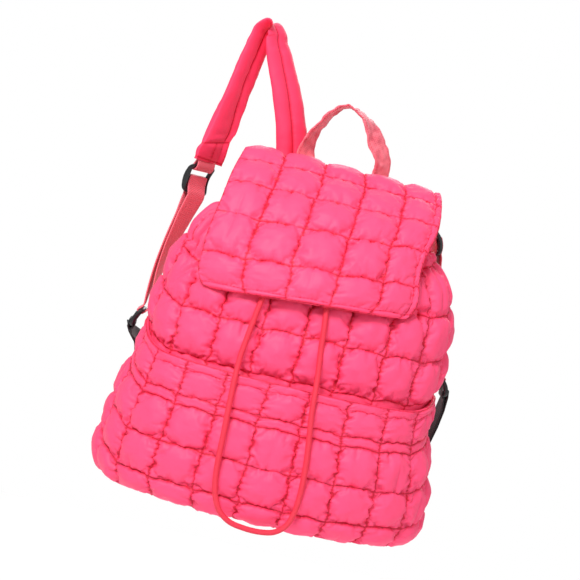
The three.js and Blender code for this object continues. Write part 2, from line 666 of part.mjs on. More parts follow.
const sliderTop = SLIDER_HEIGHT / 2;
const sliderUpper = { low: sliderTop - BAR - SLIDER_UPPER_SLOT, high: sliderTop - BAR };
const sliderLower = { low: -sliderTop + BAR, high: -sliderTop + BAR + SLIDER_LOWER_SLOT };
const ringSlot = { low: -RING_SLOT / 2, high: RING_SLOT / 2 };
const slider = (frame) => moulded(frame, SLIDER_HEIGHT, [sliderUpper, sliderLower], SLIDER_BOW);
const ring = (frame) => moulded(frame, RING_HEIGHT, [ringSlot], RING_BOW);

// How far the middle of the webbing stays from the middle and from the edge of a bar.
const offFace = BAR_THICKNESS / 2 + THREAD_GAP + WEBBING / 2;
const offEdge = THREAD_GAP + WEBBING / 2;

// Half a turn of webbing round the edge of a bar, from its outer face to its inner one or back.
// turnSide is 1 where the webbing passes over the bar and -1 where it passes under.
function roundBar(frame, height, bow, edge, turnSide, outerFirst) {
  const stations = [];
  for (let k = 0; k <= 6; k++) {
    const angle = (Math.PI * k) / 6;
    const face = Math.cos(angle) * (outerFirst ? 1 : -1);
    const flat = Math.sign(face) * Math.abs(face) ** 0.7;
    const t = edge + turnSide * offEdge * Math.sin(angle) ** 0.7;
    stations.push({ p: inFrame(frame, 0, t, bowed(bow, height, edge) + flat * offFace), w: frame.across });
  }
  return stations;
}

const alongFace = (frame, height, bow, t, face) => ({
  p: inFrame(frame, 0, t, bowed(bow, height, t) + face * offFace),
  w: frame.across,
});

// Webbing: one closed loop from the slider's middle bar down round the ring's upper bar and back.
function webbing({ slider: top, ring: bottom }, run) {
  const curve = new THREE.CatmullRomCurve3(
    [
      inFrame(top, 0, -sliderTop - 3, 0),
      ...run.map(placeOf),
      inFrame(bottom, 0, RING_HEIGHT / 2 + 3, 0),
    ],
    false,
    "centripetal",
  );
  const turns = [top.across, ...run.map((row) => widthAt(row.turn)), bottom.across];
  const gaps = [2 * offFace, ...run.map((row) => row.apart), 2 * offFace];
  const perSpan = 3;
  const layer = (face) =>
    Array.from({ length: (turns.length - 1) * perSpan + 1 }, (_, k) => {
      const count = (turns.length - 1) * perSpan;
      const i = Math.min(Math.floor(k / perSpan), turns.length - 2);
      const share = k / perSpan - i;
      const w = turns[i].clone().lerp(turns[i + 1], share).normalize();
      const out = w.clone().cross(curve.getTangent(k / count).negate()).normalize();
      const apart = lerp(gaps[i], gaps[i + 1], share);
      return { p: curve.getPoint(k / count).addScaledVector(out, (face * apart) / 2), w };
    });
  const onSlider = (t, face) => alongFace(top, SLIDER_HEIGHT, SLIDER_BOW, t, face);
  const stations = [
    ...roundBar(top, SLIDER_HEIGHT, SLIDER_BOW, sliderUpper.low, 1, false),
    onSlider(sliderLower.high - 3, 1),
    onSlider(-sliderTop + BAR, 1),
    onSlider(-sliderTop + 1, 1),
    ...layer(1),
    alongFace(bottom, RING_HEIGHT, RING_BOW, RING_HEIGHT / 2 - 1, 1),
    ...roundBar(bottom, RING_HEIGHT, RING_BOW, ringSlot.high, -1, true),
    alongFace(bottom, RING_HEIGHT, RING_BOW, RING_HEIGHT / 2 - 1, -1),
    ...layer(-1).reverse(),
    onSlider(-sliderTop + 1, -1),
    onSlider(-sliderTop + BAR, -1),
    onSlider(sliderLower.high - 3, -1),
  ];
  return strip(stations, tape(WEBBING_WIDTH, WEBBING), true);
}
function widthAt(turn) {
  const angle = THREE.MathUtils.degToRad(turn);
  return vec(Math.cos(angle), Math.sin(angle), 0);
}

// Keeper: a short loop of webbing that holds the slider's top bar to the end of the pad.
function keeper({ slider: top }) {
  const height = SLIDER_HEIGHT / 2 + KEEPER - SEAM_GAP;
  const apart = WEBBING + SEAM_GAP;
  const onSlider = (t, face) => alongFace(top, SLIDER_HEIGHT, SLIDER_BOW, t, face);
  const above = (t, face) => ({ p: inFrame(top, 0, t, (face * apart) / 2), w: top.across });
  const stations = [
    above(height, 1),
    above(height - 2, 1),
    onSlider(sliderTop - 1, 1),
    ...roundBar(top, SLIDER_HEIGHT, SLIDER_BOW, sliderUpper.high, -1, true),
    onSlider(sliderTop - 1, -1),
    above(height - 2, -1),
    above(height, -1),
  ];
  return strip(stations, tape(WEBBING_WIDTH, WEBBING));
}

// Anchor tab: black webbing from the back corner seam round the ring's lower bar and back.
function anchorTab({ ring: bottom }, seam, bend) {
  const apart = WEBBING + SEAM_GAP;
  const onRing = (t, face) => alongFace(bottom, RING_HEIGHT, RING_BOW, t, face);
  const below = (face) => ({ p: inFrame(bottom, 0, -RING_HEIGHT / 2 - 3, face * (apart / 2 + 1)), w: bottom.across });
  const leg = (face) => {
    const middle = [seam, bend].map(placeOf);
    const along = middle[1].clone().sub(middle[0]).normalize();
    return [seam, bend].map((row, k) => {
      const w = widthAt(row.turn);
      return { p: middle[k].addScaledVector(w.clone().cross(along).normalize(), (face * apart) / 2), w };
    });
  };
  const stations = [
    ...leg(1),
    below(1),
    onRing(-RING_HEIGHT / 2 + 1, 1),
    ...roundBar(bottom, RING_HEIGHT, RING_BOW, ringSlot.low, 1, true),
    onRing(-RING_HEIGHT / 2 + 1, -1),
    below(-1),
    ...leg(-1).reverse(),
  ];
  return strip(stations, tape(WEBBING_WIDTH, WEBBING));
}
const TABS = {
  left: {
    seam: { side: -0.934, behind: 1.295, height: 0.356, turn: -140 },
    bend: { side: -1.003, behind: 1.227, height: 0.405, turn: -118 },
  },
  right: {
    seam: { side: 1.013, behind: 1.182, height: 0.258, turn: 135 },
    bend: { side: 1.079, behind: 1.114, height: 0.319, turn: 110 },
  },
};

// Drawcord: leaves the casing under the flap, hangs down the front in one loop, and goes back in.
const CORD_ROUTE = [
  { x: -38, y: -52.5, z: 294 },
  { x: -38, y: -58, z: 288 },
  { x: -38.5, y: -64.5, z: 277 },
  { x: -39.5, y: -76.5, z: 262 },
  { x: -40, y: -82.5, z: 251 },
  { x: -41, y: -86, z: 240 },
  { x: -42, y: -92.5, z: 221 },
  { x: -45, y: -97.5, z: 200 },
  { x: -48, y: -101.5, z: 176 },
  { x: -50, y: -106, z: 158 },
  { x: -50.5, y: -115.5, z: 142 },
  { x: -50, y: -119.5, z: 122 },
  { x: -48.5, y: -124.5, z: 88 },
  { x: -46.5, y: -124.5, z: 50 },
  { x: -42.5, y: -124.5, z: 30 },
  { x: -35, y: -124.5, z: 16 },
  { x: -24, y: -123.5, z: 8 },
  { x: -10, y: -122.5, z: 5 },
  { x: 6, y: -122.5, z: 4.8 },
  { x: 19, y: -123.5, z: 8 },
  { x: 28, y: -124.5, z: 16 },
  { x: 32.5, y: -124.5, z: 28 },
  { x: 34, y: -124.5, z: 45 },
  { x: 33, y: -124.5, z: 72 },
  { x: 30, y: -122.5, z: 98 },
  { x: 26.5, y: -120.5, z: 124 },
  { x: 25, y: -117, z: 144 },
  { x: 24, y: -107.5, z: 162 },
  { x: 23, y: -105, z: 171 },
  { x: 22, y: -102, z: 180 },
  { x: 20, y: -100, z: 202 },
  { x: 18, y: -94.5, z: 222 },
  { x: 17.5, y: -88, z: 240 },
  { x: 17.5, y: -78.5, z: 262 },
  { x: 17.5, y: -67, z: 277 },
  { x: 17.5, y: -58.5, z: 288 },
  { x: 17.5, y: -52.5, z: 294 },
];
function drawcord() {
  const route = new THREE.CatmullRomCurve3(CORD_ROUTE.map((row) => vec(row.x, row.y, row.z)), false, "centripetal");
  const sides = 8;
  const section = new THREE.Shape(
    Array.from({ length: sides }, (_, k) => {
      const angle = (2 * Math.PI * k) / sides;
      return new THREE.Vector2((CORD_DIAMETER / 2) * Math.cos(angle), (CORD_DIAMETER / 2) * Math.sin(angle));
    }),
  );
  return new THREE.ExtrudeGeometry(section, { steps: 76, extrudePath: route });
}

const bag = new THREE.Group();
bag.add(piece("shell", shell(), PINK));
bag.add(piece("back_panel", backPanel(), PINK));
bag.add(piece("base_panel", base(), PINK));
bag.add(piece("front_pocket", pocket(), PINK));
bag.add(piece("flap", flap(), PINK));
bag.add(piece("top_handle", strip(stationsOf(ROUTES.handle, HANDLE_RISE, 3), tape(WEBBING_WIDTH, HANDLE_THICKNESS)), WEBBING_PINK));
const PAD_REACH = { left: STRAP_RISE, right: STRAP_DROP };
for (const side of ["left", "right"]) {
  const hardware = HARDWARE[side];
  bag.add(piece(`strap_pad_${side}`, strip(stationsOf(ROUTES[`${side}Pad`], PAD_REACH[side], 1), padSection), STRAP_PINK));
  bag.add(piece(`keeper_${side}`, keeper(hardware), WEBBING_PINK));
  bag.add(piece(`slider_${side}`, slider(hardware.slider), BLACK_PLASTIC));
  bag.add(piece(`strap_webbing_${side}`, webbing(hardware, ROUTES[`${side}Webbing`]), WEBBING_PINK));
  bag.add(piece(`ring_${side}`, ring(hardware.ring), BLACK_PLASTIC));
  bag.add(piece(`anchor_tab_${side}`, anchorTab(hardware, TABS[side].seam, TABS[side].bend), BLACK_WEBBING));
}
bag.add(piece("drawcord", drawcord(), CORD_RED));

const held = new THREE.Group();
bag.position.copy(overTop(HOOK_PLACE, STRAP_RISE)).negate();
held.add(bag);

export default held;
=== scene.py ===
import math

import bmesh
import bpy
import numpy as np
from mathutils import Matrix, Vector


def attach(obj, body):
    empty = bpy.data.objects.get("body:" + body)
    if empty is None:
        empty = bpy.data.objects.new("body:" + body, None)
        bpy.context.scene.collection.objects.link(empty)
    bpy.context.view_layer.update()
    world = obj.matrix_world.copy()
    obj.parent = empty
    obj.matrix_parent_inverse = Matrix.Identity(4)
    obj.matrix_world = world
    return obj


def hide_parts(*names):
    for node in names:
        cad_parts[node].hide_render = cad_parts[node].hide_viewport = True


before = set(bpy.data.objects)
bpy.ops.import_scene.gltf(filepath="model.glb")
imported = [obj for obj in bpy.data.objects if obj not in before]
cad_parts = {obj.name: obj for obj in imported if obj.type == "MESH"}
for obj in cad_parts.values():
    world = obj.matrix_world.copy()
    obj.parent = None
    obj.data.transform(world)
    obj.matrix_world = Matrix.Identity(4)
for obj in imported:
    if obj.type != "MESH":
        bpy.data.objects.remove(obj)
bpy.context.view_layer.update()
scene = bpy.context.scene
root = "root"
for obj in bpy.context.selected_objects:
    obj.select_set(False)

# The bag was photographed hanging a little turned, so the camera is rolled and the bag itself
# stays upright. Sizes in this file are in millimetres from the middle of the bag's base, and
# the hook that holds the left strap is the origin of the frame.
hook = np.array([-94.526, 61.996, 469.032])
look_at = np.array([-14.5, 0.0, 222.0])
camera_distance = 1500.0
photographed_width = 580.0
camera_side = math.radians(-3.0)
camera_rise = math.radians(4.0)
camera_roll = math.radians(14.0)


def in_frame(points):
    """Millimetres from the middle of the base to metres from the hook."""
    return (np.asarray(points, dtype=float) - hook) / 1000.0


towards_camera = np.array([
    math.sin(camera_side) * math.cos(camera_rise),
    -math.cos(camera_side) * math.cos(camera_rise),
    math.sin(camera_rise),
])
level = np.array([math.cos(camera_side), math.sin(camera_side), 0.0])
upwards = np.cross(towards_camera, level)
right = math.cos(camera_roll) * level + math.sin(camera_roll) * upwards
top = np.cross(towards_camera, right)
camera_data = bpy.data.cameras.new("camera")
camera_data.sensor_fit = "HORIZONTAL"
camera_data.angle = 2.0 * math.atan(photographed_width / 2 / camera_distance)
camera_data.clip_end = 100.0
camera = bpy.data.objects.new("camera", camera_data)
scene.collection.objects.link(camera)
eye = in_frame(look_at + towards_camera * camera_distance)
camera.matrix_world = Matrix([
    (right[0], top[0], towards_camera[0], eye[0]),
    (right[1], top[1], towards_camera[1], eye[1]),
    (right[2], top[2], towards_camera[2], eye[2]),
    (0.0, 0.0, 0.0, 1.0),
])
scene.camera = camera


# Drawcord: a soft round braid, 5.5 mm thick. Both ends come out of the casing in the mouth,
# under the flap, and the slack hangs down over the front in one loop.
cord_diameter = 5.5
cord_route = [
    (-38, -52.5, 294), (-38, -58, 288), (-38.5, -64.5, 277), (-39.5, -76.5, 262), (-40, -82.5, 251),
    (-41, -86, 240), (-42, -92.5, 221), (-45, -97.5, 200), (-48, -101.5, 176), (-50, -106, 158),
    (-50.5, -115.5, 142), (-50, -119.5, 122), (-48.5, -124.5, 88), (-46.5, -124.5, 50),
    (-42.5, -124.5, 30), (-35, -124.5, 16), (-24, -123.5, 8), (-10, -122.5, 5), (6, -122.5, 4.8),
    (19, -123.5, 8), (28, -124.5, 16), (32.5, -124.5, 28), (34, -124.5, 45), (33, -124.5, 72),
    (30, -122.5, 98), (26.5, -120.5, 124), (25, -117, 144), (24, -107.5, 162), (23, -105, 171),
    (22, -102, 180), (20, -100, 202), (18, -94.5, 222), (17.5, -88, 240), (17.5, -78.5, 262),
    (17.5, -67, 277), (17.5, -58.5, 288), (17.5, -52.5, 294),
]


def smooth_route(points, count):
    """count + 1 points on the smooth curve through these points."""
    points = [np.asarray(p, dtype=float) for p in points]
    last = len(points) - 1
    found = []
    for k in range(count + 1):
        place = last * k / count
        i = min(int(place), last - 1)
        t = place - i
        p1, p2 = points[i], points[i + 1]
        p0 = points[i - 1] if i > 0 else 2 * points[0] - points[1]
        p3 = points[i + 2] if i + 2 <= last else 2 * points[last] - points[last - 1]
        pairs = ((p0, p1), (p1, p2), (p2, p3))
        gap0, gap1, gap2 = (max(np.linalg.norm(b - a) ** 0.5, 1e-6) for a, b in pairs)
        slope1 = ((p1 - p0) / gap0 - (p2 - p0) / (gap0 + gap1) + (p2 - p1) / gap1) * gap1
        slope2 = ((p2 - p1) / gap1 - (p3 - p1) / (gap1 + gap2) + (p3 - p2) / gap2) * gap1
        found.append(
            (2 * t**3 - 3 * t**2 + 1) * p1 + (t**3 - 2 * t**2 + t) * slope1
            + (3 * t**2 - 2 * t**3) * p2 + (t**3 - t**2) * slope2
        )
    return np.array(found)


def unit(vectors):
    return vectors / np.linalg.norm(vectors, axis=-1, keepdims=True)


def run_along(path):
    """Distance along a path from its first point."""
    return np.concatenate([[0.0], np.cumsum(np.linalg.norm(np.diff(path, axis=0), axis=1))])


def make_piece(name, points, faces, uvs=None, material=None, values=None):
    """A smooth mesh object from millimetre points. Its UVs are in millimetres too, for each
    point or for each face corner, and are kept in tenths of a metre."""
    mesh = bpy.data.meshes.new(name)
    mesh.from_pydata(in_frame(points).tolist(), [], [tuple(int(i) for i in face) for face in faces])
    if uvs is not None:
        layer = mesh.uv_layers.new(name="cloth")
        uvs = np.asarray(uvs, dtype=np.float32) / 100.0
        if len(uvs) == len(mesh.vertices):
            corner = np.empty(len(mesh.loops), dtype=np.int32)
            mesh.loops.foreach_get("vertex_index", corner)
            uvs = uvs[corner]
        layer.data.foreach_set("uv", uvs.ravel())
    for key, column in (values or {}).items():
        attribute = mesh.attributes.new(key, "FLOAT", "POINT")
        attribute.data.foreach_set("value", np.asarray(column, dtype=np.float32))
    mesh.polygons.foreach_set("use_smooth", [True] * len(mesh.polygons))
    obj = bpy.data.objects.new(name, mesh)
    scene.collection.objects.link(obj)
    if material:
        mesh.materials.append(material)
    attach(obj, root)
    return obj


def carried_frames(path, first):
    """A pair of side vectors carried along a path without twist."""
    side = np.asarray(first, dtype=float)
    sides, outs = [], []
    for tangent in unit(np.gradient(path, axis=0)):
        side = unit(side - tangent * side.dot(tangent))
        sides.append(side)
        outs.append(np.cross(side, tangent))
    return np.array(sides), np.array(outs)


def ring_faces(run, girth, closed=False):
    """Faces between rings of points at distances along a path, with their UVs. The rings either
    close to a loop or end in flat caps."""
    around = len(girth) - 1
    rings = len(run) - 1 if closed else len(run)
    faces, uvs = [], []
    for k in range(len(run) - 1):
        a, b = k * around, (k + 1) % rings * around
        for i in range(around):
            j = (i + 1) % around
            faces.append((a + i, b + i, b + j, a + j))
            uvs += [(girth[i + m], run[k + n]) for m, n in ((0, 0), (0, 1), (1, 1), (1, 0))]
    if not closed:
        faces += [tuple(range(around)), tuple(reversed(range((rings - 1) * around, rings * around)))]
        uvs += [(girth[i], run[0]) for i in range(around)]
        uvs += [(girth[around - 1 - i], run[-1]) for i in range(around)]
    return faces, uvs


def tube(name, path, radius, around, material, ridges, first=(1, 0, 0), values=None):
    """A closed round tube along a path, with its UV along and around."""
    sides, outs = carried_frames(path, first)
    run = run_along(path)
    angles = [2 * math.pi * j / around for j in range(around)]
    points = []
    for k, middle in enumerate(path):
        for angle in angles:
            reach = radius + ridges(run[k], angle)
            points.append(middle + reach * (math.cos(angle) * sides[k] + math.sin(angle) * outs[k]))
    faces, uvs = ring_faces(run, np.arange(around + 1) * (2 * math.pi * radius / around))
    return make_piece(name, points, faces, np.array(uvs)[:, ::-1], material, values)


def new_material(name):
    material = bpy.data.materials.new(name)
    material.use_nodes = True
    nodes, links = material.node_tree.nodes, material.node_tree.links
    return material, nodes, links, nodes["Principled BSDF"]


def new_group(name, inputs, outputs):
    """A shader node group whose named inputs and outputs are numbers."""
    group = bpy.data.node_groups.new(name, "ShaderNodeTree")
    for label, value in inputs.items():
        socket = group.interface.new_socket(label, in_out="INPUT", socket_type="NodeSocketFloat")
        socket.default_value = value
    for label in outputs:
        group.interface.new_socket(label, in_out="OUTPUT", socket_type="NodeSocketFloat")
    entry = group.nodes.new("NodeGroupInput")
    leave = group.nodes.new("NodeGroupOutput")
    return group, group.nodes, group.links, entry, leave


def math_node(nodes, links, operation, first, second=None, third=None):
    node = nodes.new("ShaderNodeMath")
    node.operation = operation
    for slot, value in enumerate((first, second, third)):
        if value is None:
            continue
        if isinstance(value, (int, float)):
            node.inputs[slot].default_value = value
        else:
            links.new(value, node.inputs[slot])
    return node.outputs[0]


def set_inputs(node, values):
    for label, value in values.items():
        node.inputs[label].default_value = value


def placed_group(nodes, group, values):
    node = nodes.new("ShaderNodeGroup")
    node.node_tree = group
    set_inputs(node, values)
    return node


def cloth_place(nodes):
    cloth_uv = nodes.new("ShaderNodeUVMap")
    cloth_uv.uv_map = "cloth"
    return cloth_uv.outputs[0]


def noise(nodes, links, scale, detail=2.0, roughness=0.5, place=None):
    """Noise from 0 to 1, read at a place of the cloth or else in the object itself."""
    if place is None:
        place = nodes.new("ShaderNodeTexCoord").outputs["Object"]
    texture = nodes.new("ShaderNodeTexNoise")
    set_inputs(texture, {"Scale": scale, "Detail": detail, "Roughness": roughness})
    links.new(place, texture.inputs["Vector"])
    return texture.outputs[0]


def blend(nodes, links, share, first, second):
    """A first colour that turns into a second one as the share rises."""
    mix = nodes.new("ShaderNodeMix")
    mix.data_type = "RGBA"
    for label, colour in (("A", first), ("B", second)):
        if isinstance(colour, tuple):
            mix.inputs[label].default_value = (*colour, 1.0)
        else:
            links.new(colour, mix.inputs[label])
    links.new(share, mix.inputs["Factor"])
    return mix.outputs["Result"]


def emboss(nodes, links, shader, height, strength, distance):
    """Relief on a shader's surface, with its depth in metres."""
    bump = nodes.new("ShaderNodeBump")
    set_inputs(bump, {"Strength": strength, "Distance": distance})
    links.new(height, bump.inputs["Height"])
    links.new(bump.outputs[0], shader.inputs["Normal"])


# Woven threads that cross over each other, for the cord, the webbing and the nylon. It reads
# the cloth's own UV, in tenths of a metre.
weave_group, nodes, links, entry, leave = new_group(
    "weave", {"Across": 60.0, "Along": 60.0, "Slant": 0.0}, ("Height", "Fleck")
)
cloth = cloth_place(nodes)
split = nodes.new("ShaderNodeSeparateXYZ")
links.new(cloth, split.inputs[0])
slanted = math_node(nodes, links, "MULTIPLY_ADD", split.outputs[1], entry.outputs["Slant"], split.outputs[0])
counter = math_node(nodes, links, "MULTIPLY", split.outputs[0], entry.outputs["Slant"])
counter = math_node(nodes, links, "SUBTRACT", split.outputs[1], counter)
threads = [
    math_node(nodes, links, "SINE", math_node(nodes, links, "MULTIPLY", way, entry.outputs[label]))
    for way, label in ((slanted, "Along"), (counter, "Across"))
]
crossing = math_node(nodes, links, "MULTIPLY", *threads)
links.new(math_node(nodes, links, "MULTIPLY_ADD", crossing, 0.5, 0.5), leave.inputs["Height"])
links.new(noise(nodes, links, 160.0, 3.0, place=cloth), leave.inputs["Fleck"])


def woven_material(
    name, dark, light, depth, roughness, sheen, across=260.0, along=170.0, slant=0.0, mottled=0.0
):
    """Cloth whose threads show: two tones on the weave, flecks, and its relief in millimetres.
    Where it is mottled, random patches lighten and darken it: painted light and shade of creased webbing."""
    material, nodes, links, shader = new_material(name)
    weave = placed_group(nodes, weave_group, {"Across": across, "Along": along, "Slant": slant})
    tone = math_node(nodes, links, "MULTIPLY_ADD", weave.outputs["Height"], 0.55, 0.0)
    tone = math_node(nodes, links, "MULTIPLY_ADD", weave.outputs["Fleck"], 0.75, tone)
    if mottled:
        # Painted light and shade: random patches stand in for the light and shade of the creased handle.
        crease_shading = noise(nodes, links, 130.0)
        patches = math_node(nodes, links, "MULTIPLY_ADD", crease_shading, mottled, -mottled / 2)
        tone = math_node(nodes, links, "ADD", tone, patches)
    links.new(blend(nodes, links, tone, dark, light), shader.inputs["Base Color"])
    emboss(nodes, links, shader, weave.outputs["Height"], 0.8, depth / 1000.0)
    set_inputs(shader, {"Roughness": roughness, "Sheen Weight": sheen, "Sheen Roughness": 0.4})
    return material


cord_cloth = woven_material(
    "red_braid", (0.58, 0.006, 0.024), (0.90, 0.030, 0.078), 0.25, 0.6, 0.0, 420.0, 420.0, 1.0
)
cord_path = smooth_route(cord_route, 420)
braid_height, braid_pitch = 0.12, 1.6


def braid(run, angle):
    return braid_height * math.sin(run * braid_pitch + 2 * angle) * math.sin(run * braid_pitch - 2 * angle)


cord = tube("hanging_drawcord", cord_path, cord_diameter / 2 - braid_height, 18, cord_cloth, braid)
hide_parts("drawcord")


# Shell: the front and the sides of the bag in one quilted sheet of nylon over wadding, sewn
# along its ends to the back panel, with the drawcord's casing as its hem. The filling blows
# each square up between its stitches, and the thread gathers the cloth along the columns.
shell_width, shell_front, shell_back, shell_height = 302.0, 98.0, 44.0, 300.0
front_roundness, back_roundness = 2.5, 5.0
corner_turn = 45.0
back_rise = 26.0
back_height = shell_height + back_rise
wall, puff_height, flat_puff, quilt_pitch = 3.0, 8.5, 0.8, 43.0
seam_gap, corner_gap, gather_depth = 0.4, 2.0, 3.0
row_rise_left, row_rise_right = 20.0, 13.0
shell_columns, shell_hem = 12, 12.0
base_thickness = 7.0
bottom_edge = base_thickness + 3 * seam_gap
top_shift, lean_from = 11.0, 100.0
pocket_height = 142.0
shell_sections = [
    (0.023, 0.942, 0.9), (0.053, 0.98, 0.959), (0.087, 1.0, 0.98), (0.213, 0.993, 1.0),
    (0.347, 0.96, 0.985), (0.5, 0.945, 0.965), (0.62, 0.947, 0.939), (0.753, 0.917, 0.837),
    (0.833, 0.862, 0.745), (0.88, 0.805, 0.67), (0.92, 0.74, 0.592), (0.967, 0.675, 0.5),
    (1.0, 0.636, 0.449),
]
cells = 28  # cloth points across one quilted square


def mound(value, width, middle=0.0):
    """A smooth hump, 1 in its middle and down to a third at its width."""
    return np.exp(-((value - middle) / width) ** 2)


def smooth_step(value, low, high):
    t = np.clip((np.asarray(value, dtype=float) - low) / (high - low), 0.0, 1.0)
    return t * t * (3 - 2 * t)


def read_table(table, column, at):
    """A column of a table of sections, read as a smooth curve."""
    at = np.asarray(at, dtype=float)
    xs = np.array([row[0] for row in table])
    ys = np.array([row[column] for row in table])
    last = len(xs) - 1
    slopes = np.array([
        (ys[min(k + 1, last)] - ys[max(k - 1, 0)]) / (xs[min(k + 1, last)] - xs[max(k - 1, 0)])
        for k in range(last + 1)
    ])
    inside = np.clip(at, xs[0], xs[last])
    i = np.clip(np.searchsorted(xs, inside, side="right") - 1, 0, last - 1)
    span = xs[i + 1] - xs[i]
    t = (inside - xs[i]) / span
    return (
        (2 * t**3 - 3 * t**2 + 1) * ys[i] + (t**3 - 2 * t**2 + t) * span * slopes[i]
        + (3 * t**2 - 2 * t**3) * ys[i + 1] + (t**3 - t**2) * span * slopes[i + 1]
    )


def shell_half_width(z):
    return read_table(shell_sections, 1, np.asarray(z) / shell_height) * shell_width / 2


def shell_front_at(z):
    return read_table(shell_sections, 2, np.asarray(z) / shell_height) * shell_front


def plan_point(angle, half_width, front, back):
    """Plan of the bag at an angle in degrees, 0 at the wearer's left hand and 270 in front."""
    c, s = np.cos(np.radians(angle)), np.sin(np.radians(angle))
    power = np.where(s > 0, 2 / back_roundness, 2 / front_roundness)
    reach = np.where(s > 0, back, front)
    return half_width * np.sign(c) * np.abs(c) ** power, reach * np.sign(s) * np.abs(s) ** power


def even_angles(start, end, half_width, front, back, gap):
    """Turns shares of the way round into angles, with a gap left at both ends."""
    angles = np.linspace(start, end, 721)
    x, y = plan_point(angles, half_width, front, back)
    run = np.concatenate([[0.0], np.cumsum(np.hypot(np.diff(x), np.diff(y)))])
    return lambda share: np.interp(gap + np.asarray(share) * (run[-1] - 2 * gap), run, angles)


def row_rise(x, y, half_width, front):
    """How much higher a row of quilting sits at this place than in front."""
    side = smooth_step(x / half_width, -1, 1)
    return (row_rise_left + (row_rise_right - row_rise_left) * side) * smooth_step(y / front, -0.75, 0)


def rise_share(z):
    to_mouth = 1 - smooth_step(z, shell_height - quilt_pitch, shell_height)
    return smooth_step(z, bottom_edge, quilt_pitch / 2) * to_mouth


def lean_at(z):
    return top_shift * smooth_step(z, lean_from, back_height)


def ripple(x, y, size, seed):
    """Smooth random waves from -1 to 1 over a plane, about size apart."""
    table = np.random.default_rng(seed).uniform(-1, 1, (64, 64))
    x, y = np.asarray(x) / size + 1000.37, np.asarray(y) / size + 1000.71
    i, j = np.floor(x).astype(int), np.floor(y).astype(int)
    tx, ty = x - i, y - j
    tx, ty = tx * tx * (3 - 2 * tx), ty * ty * (3 - 2 * ty)
    a, b = table[j % 64, i % 64], table[j % 64, (i + 1) % 64]
    c, d = table[(j + 1) % 64, i % 64], table[(j + 1) % 64, (i + 1) % 64]
    return (a * (1 - tx) + b * tx) * (1 - ty) + (c * (1 - tx) + d * tx) * ty


def blown_swatch(columns=4, rows=4):
    """A swatch of the quilt, simulated as cloth with spare length, held at its stitches and
    blown up by its filling. Returns each point's shift, in squares across, up and out."""
    pitch = 0.43
    across, up = columns * cells, rows * cells
    x, y = np.meshgrid(np.arange(across + 1), np.arange(up + 1))
    sewn = (x % cells == 0) | (y % cells == 0)
    lift = 0.012 * ripple(x, y, 5.0, 11) * ~sewn
    flat = np.stack([x * pitch / cells, y * pitch / cells, lift + 0.004 * ~sewn], axis=-1)
    corner = (y * (across + 1) + x)[:-1, :-1].ravel()
    faces = np.stack([corner, corner + 1, corner + across + 2, corner + across + 1], axis=1)
    mesh = bpy.data.meshes.new("swatch")
    mesh.from_pydata(flat.reshape(-1, 3).tolist(), [], faces.tolist())
    swatch = bpy.data.objects.new("swatch", mesh)
    scene.collection.objects.link(swatch)
    stitches = swatch.vertex_groups.new(name="stitches")
    stitches.add([int(i) for i in np.flatnonzero(sewn)], 1.0, "REPLACE")
    cloth = swatch.modifiers.new("cloth", "CLOTH")
    nylon_over_wadding = {
        "quality": 6, "mass": 0.12, "tension_stiffness": 20.0, "compression_stiffness": 20.0,
        "shear_stiffness": 8.0, "bending_stiffness": 0.35, "shrink_min": -0.09, "use_pressure": True,
        "uniform_pressure_force": 5.0, "vertex_group_mass": "stitches",
    }
    for label, value in nylon_over_wadding.items():
        setattr(cloth.settings, label, value)
    cloth.settings.effector_weights.gravity = 0.0
    cloth.collision_settings.use_collision = False
    frames = 30
    cloth.point_cache.frame_start = 1
    cloth.point_cache.frame_end = frames
    for step in range(1, frames + 1):
        scene.frame_set(step)
    done = swatch.evaluated_get(bpy.context.evaluated_depsgraph_get()).to_mesh()
    blown = np.empty(len(done.vertices) * 3, dtype=np.float32)
    done.vertices.foreach_get("co", blown)
    scene.frame_set(1)
    bpy.data.objects.remove(swatch)
    shift = (blown.reshape(up + 1, across + 1, 3) - flat) / pitch
    shift[sewn] = 0.0
    return np.clip(shift, -0.35, 0.5), columns, rows


swatch_shift, swatch_columns, swatch_rows = blown_swatch()
swatch_top = np.median([
    swatch_shift[r * cells:(r + 1) * cells, c * cells:(c + 1) * cells, 2].max()
    for r in range(swatch_rows) for c in range(swatch_columns)
])


def full_puff(width, height):
    return puff_height * min(1.0, min(width, height) / quilt_pitch)


# Where thread pulls nylon together, short puckers cross the seam every few millimetres. They give a bump
# relief, and their shadows are painted into the colour as dark spikes beside the seam.
seam_and_pucker_shade, nodes, links, entry, leave = new_group("seam_and_pucker_shade", {"Reach": 1.5}, ("Distance", "Pucker"))
cloth = cloth_place(nodes)
found = []
for label, stretch in (("from_columns", (0.1, 1.0, 1.0)), ("from_rows", (1.0, 0.1, 1.0))):
    distance = nodes.new("ShaderNodeAttribute")
    distance.attribute_name = label
    across_seam = nodes.new("ShaderNodeVectorMath")
    across_seam.operation = "MULTIPLY"
    across_seam.inputs[1].default_value = stretch
    links.new(cloth, across_seam.inputs[0])
    pucker = noise(nodes, links, 38.0, 1.0, place=across_seam.outputs[0])
    pulled = math_node(nodes, links, "MULTIPLY_ADD", pucker, 4.0, -1.75)
    nodes[-1].use_clamp = True
    if label == "from_rows":
        pulled = math_node(nodes, links, "MULTIPLY", pulled, 0.35)
    reached = math_node(nodes, links, "MULTIPLY", pulled, entry.outputs["Reach"])
    away = distance.outputs["Fac"]
    found.append((math_node(nodes, links, "SUBTRACT", away, reached), pulled, away))
links.new(math_node(nodes, links, "MINIMUM", found[0][0], found[1][0]), leave.inputs["Distance"])
beside = [
    math_node(nodes, links, "MULTIPLY", pulled, math_node(nodes, links, "POWER", 0.75, away))
    for _, pulled, away in found
]
links.new(math_node(nodes, links, "ADD", *beside), leave.inputs["Pucker"])


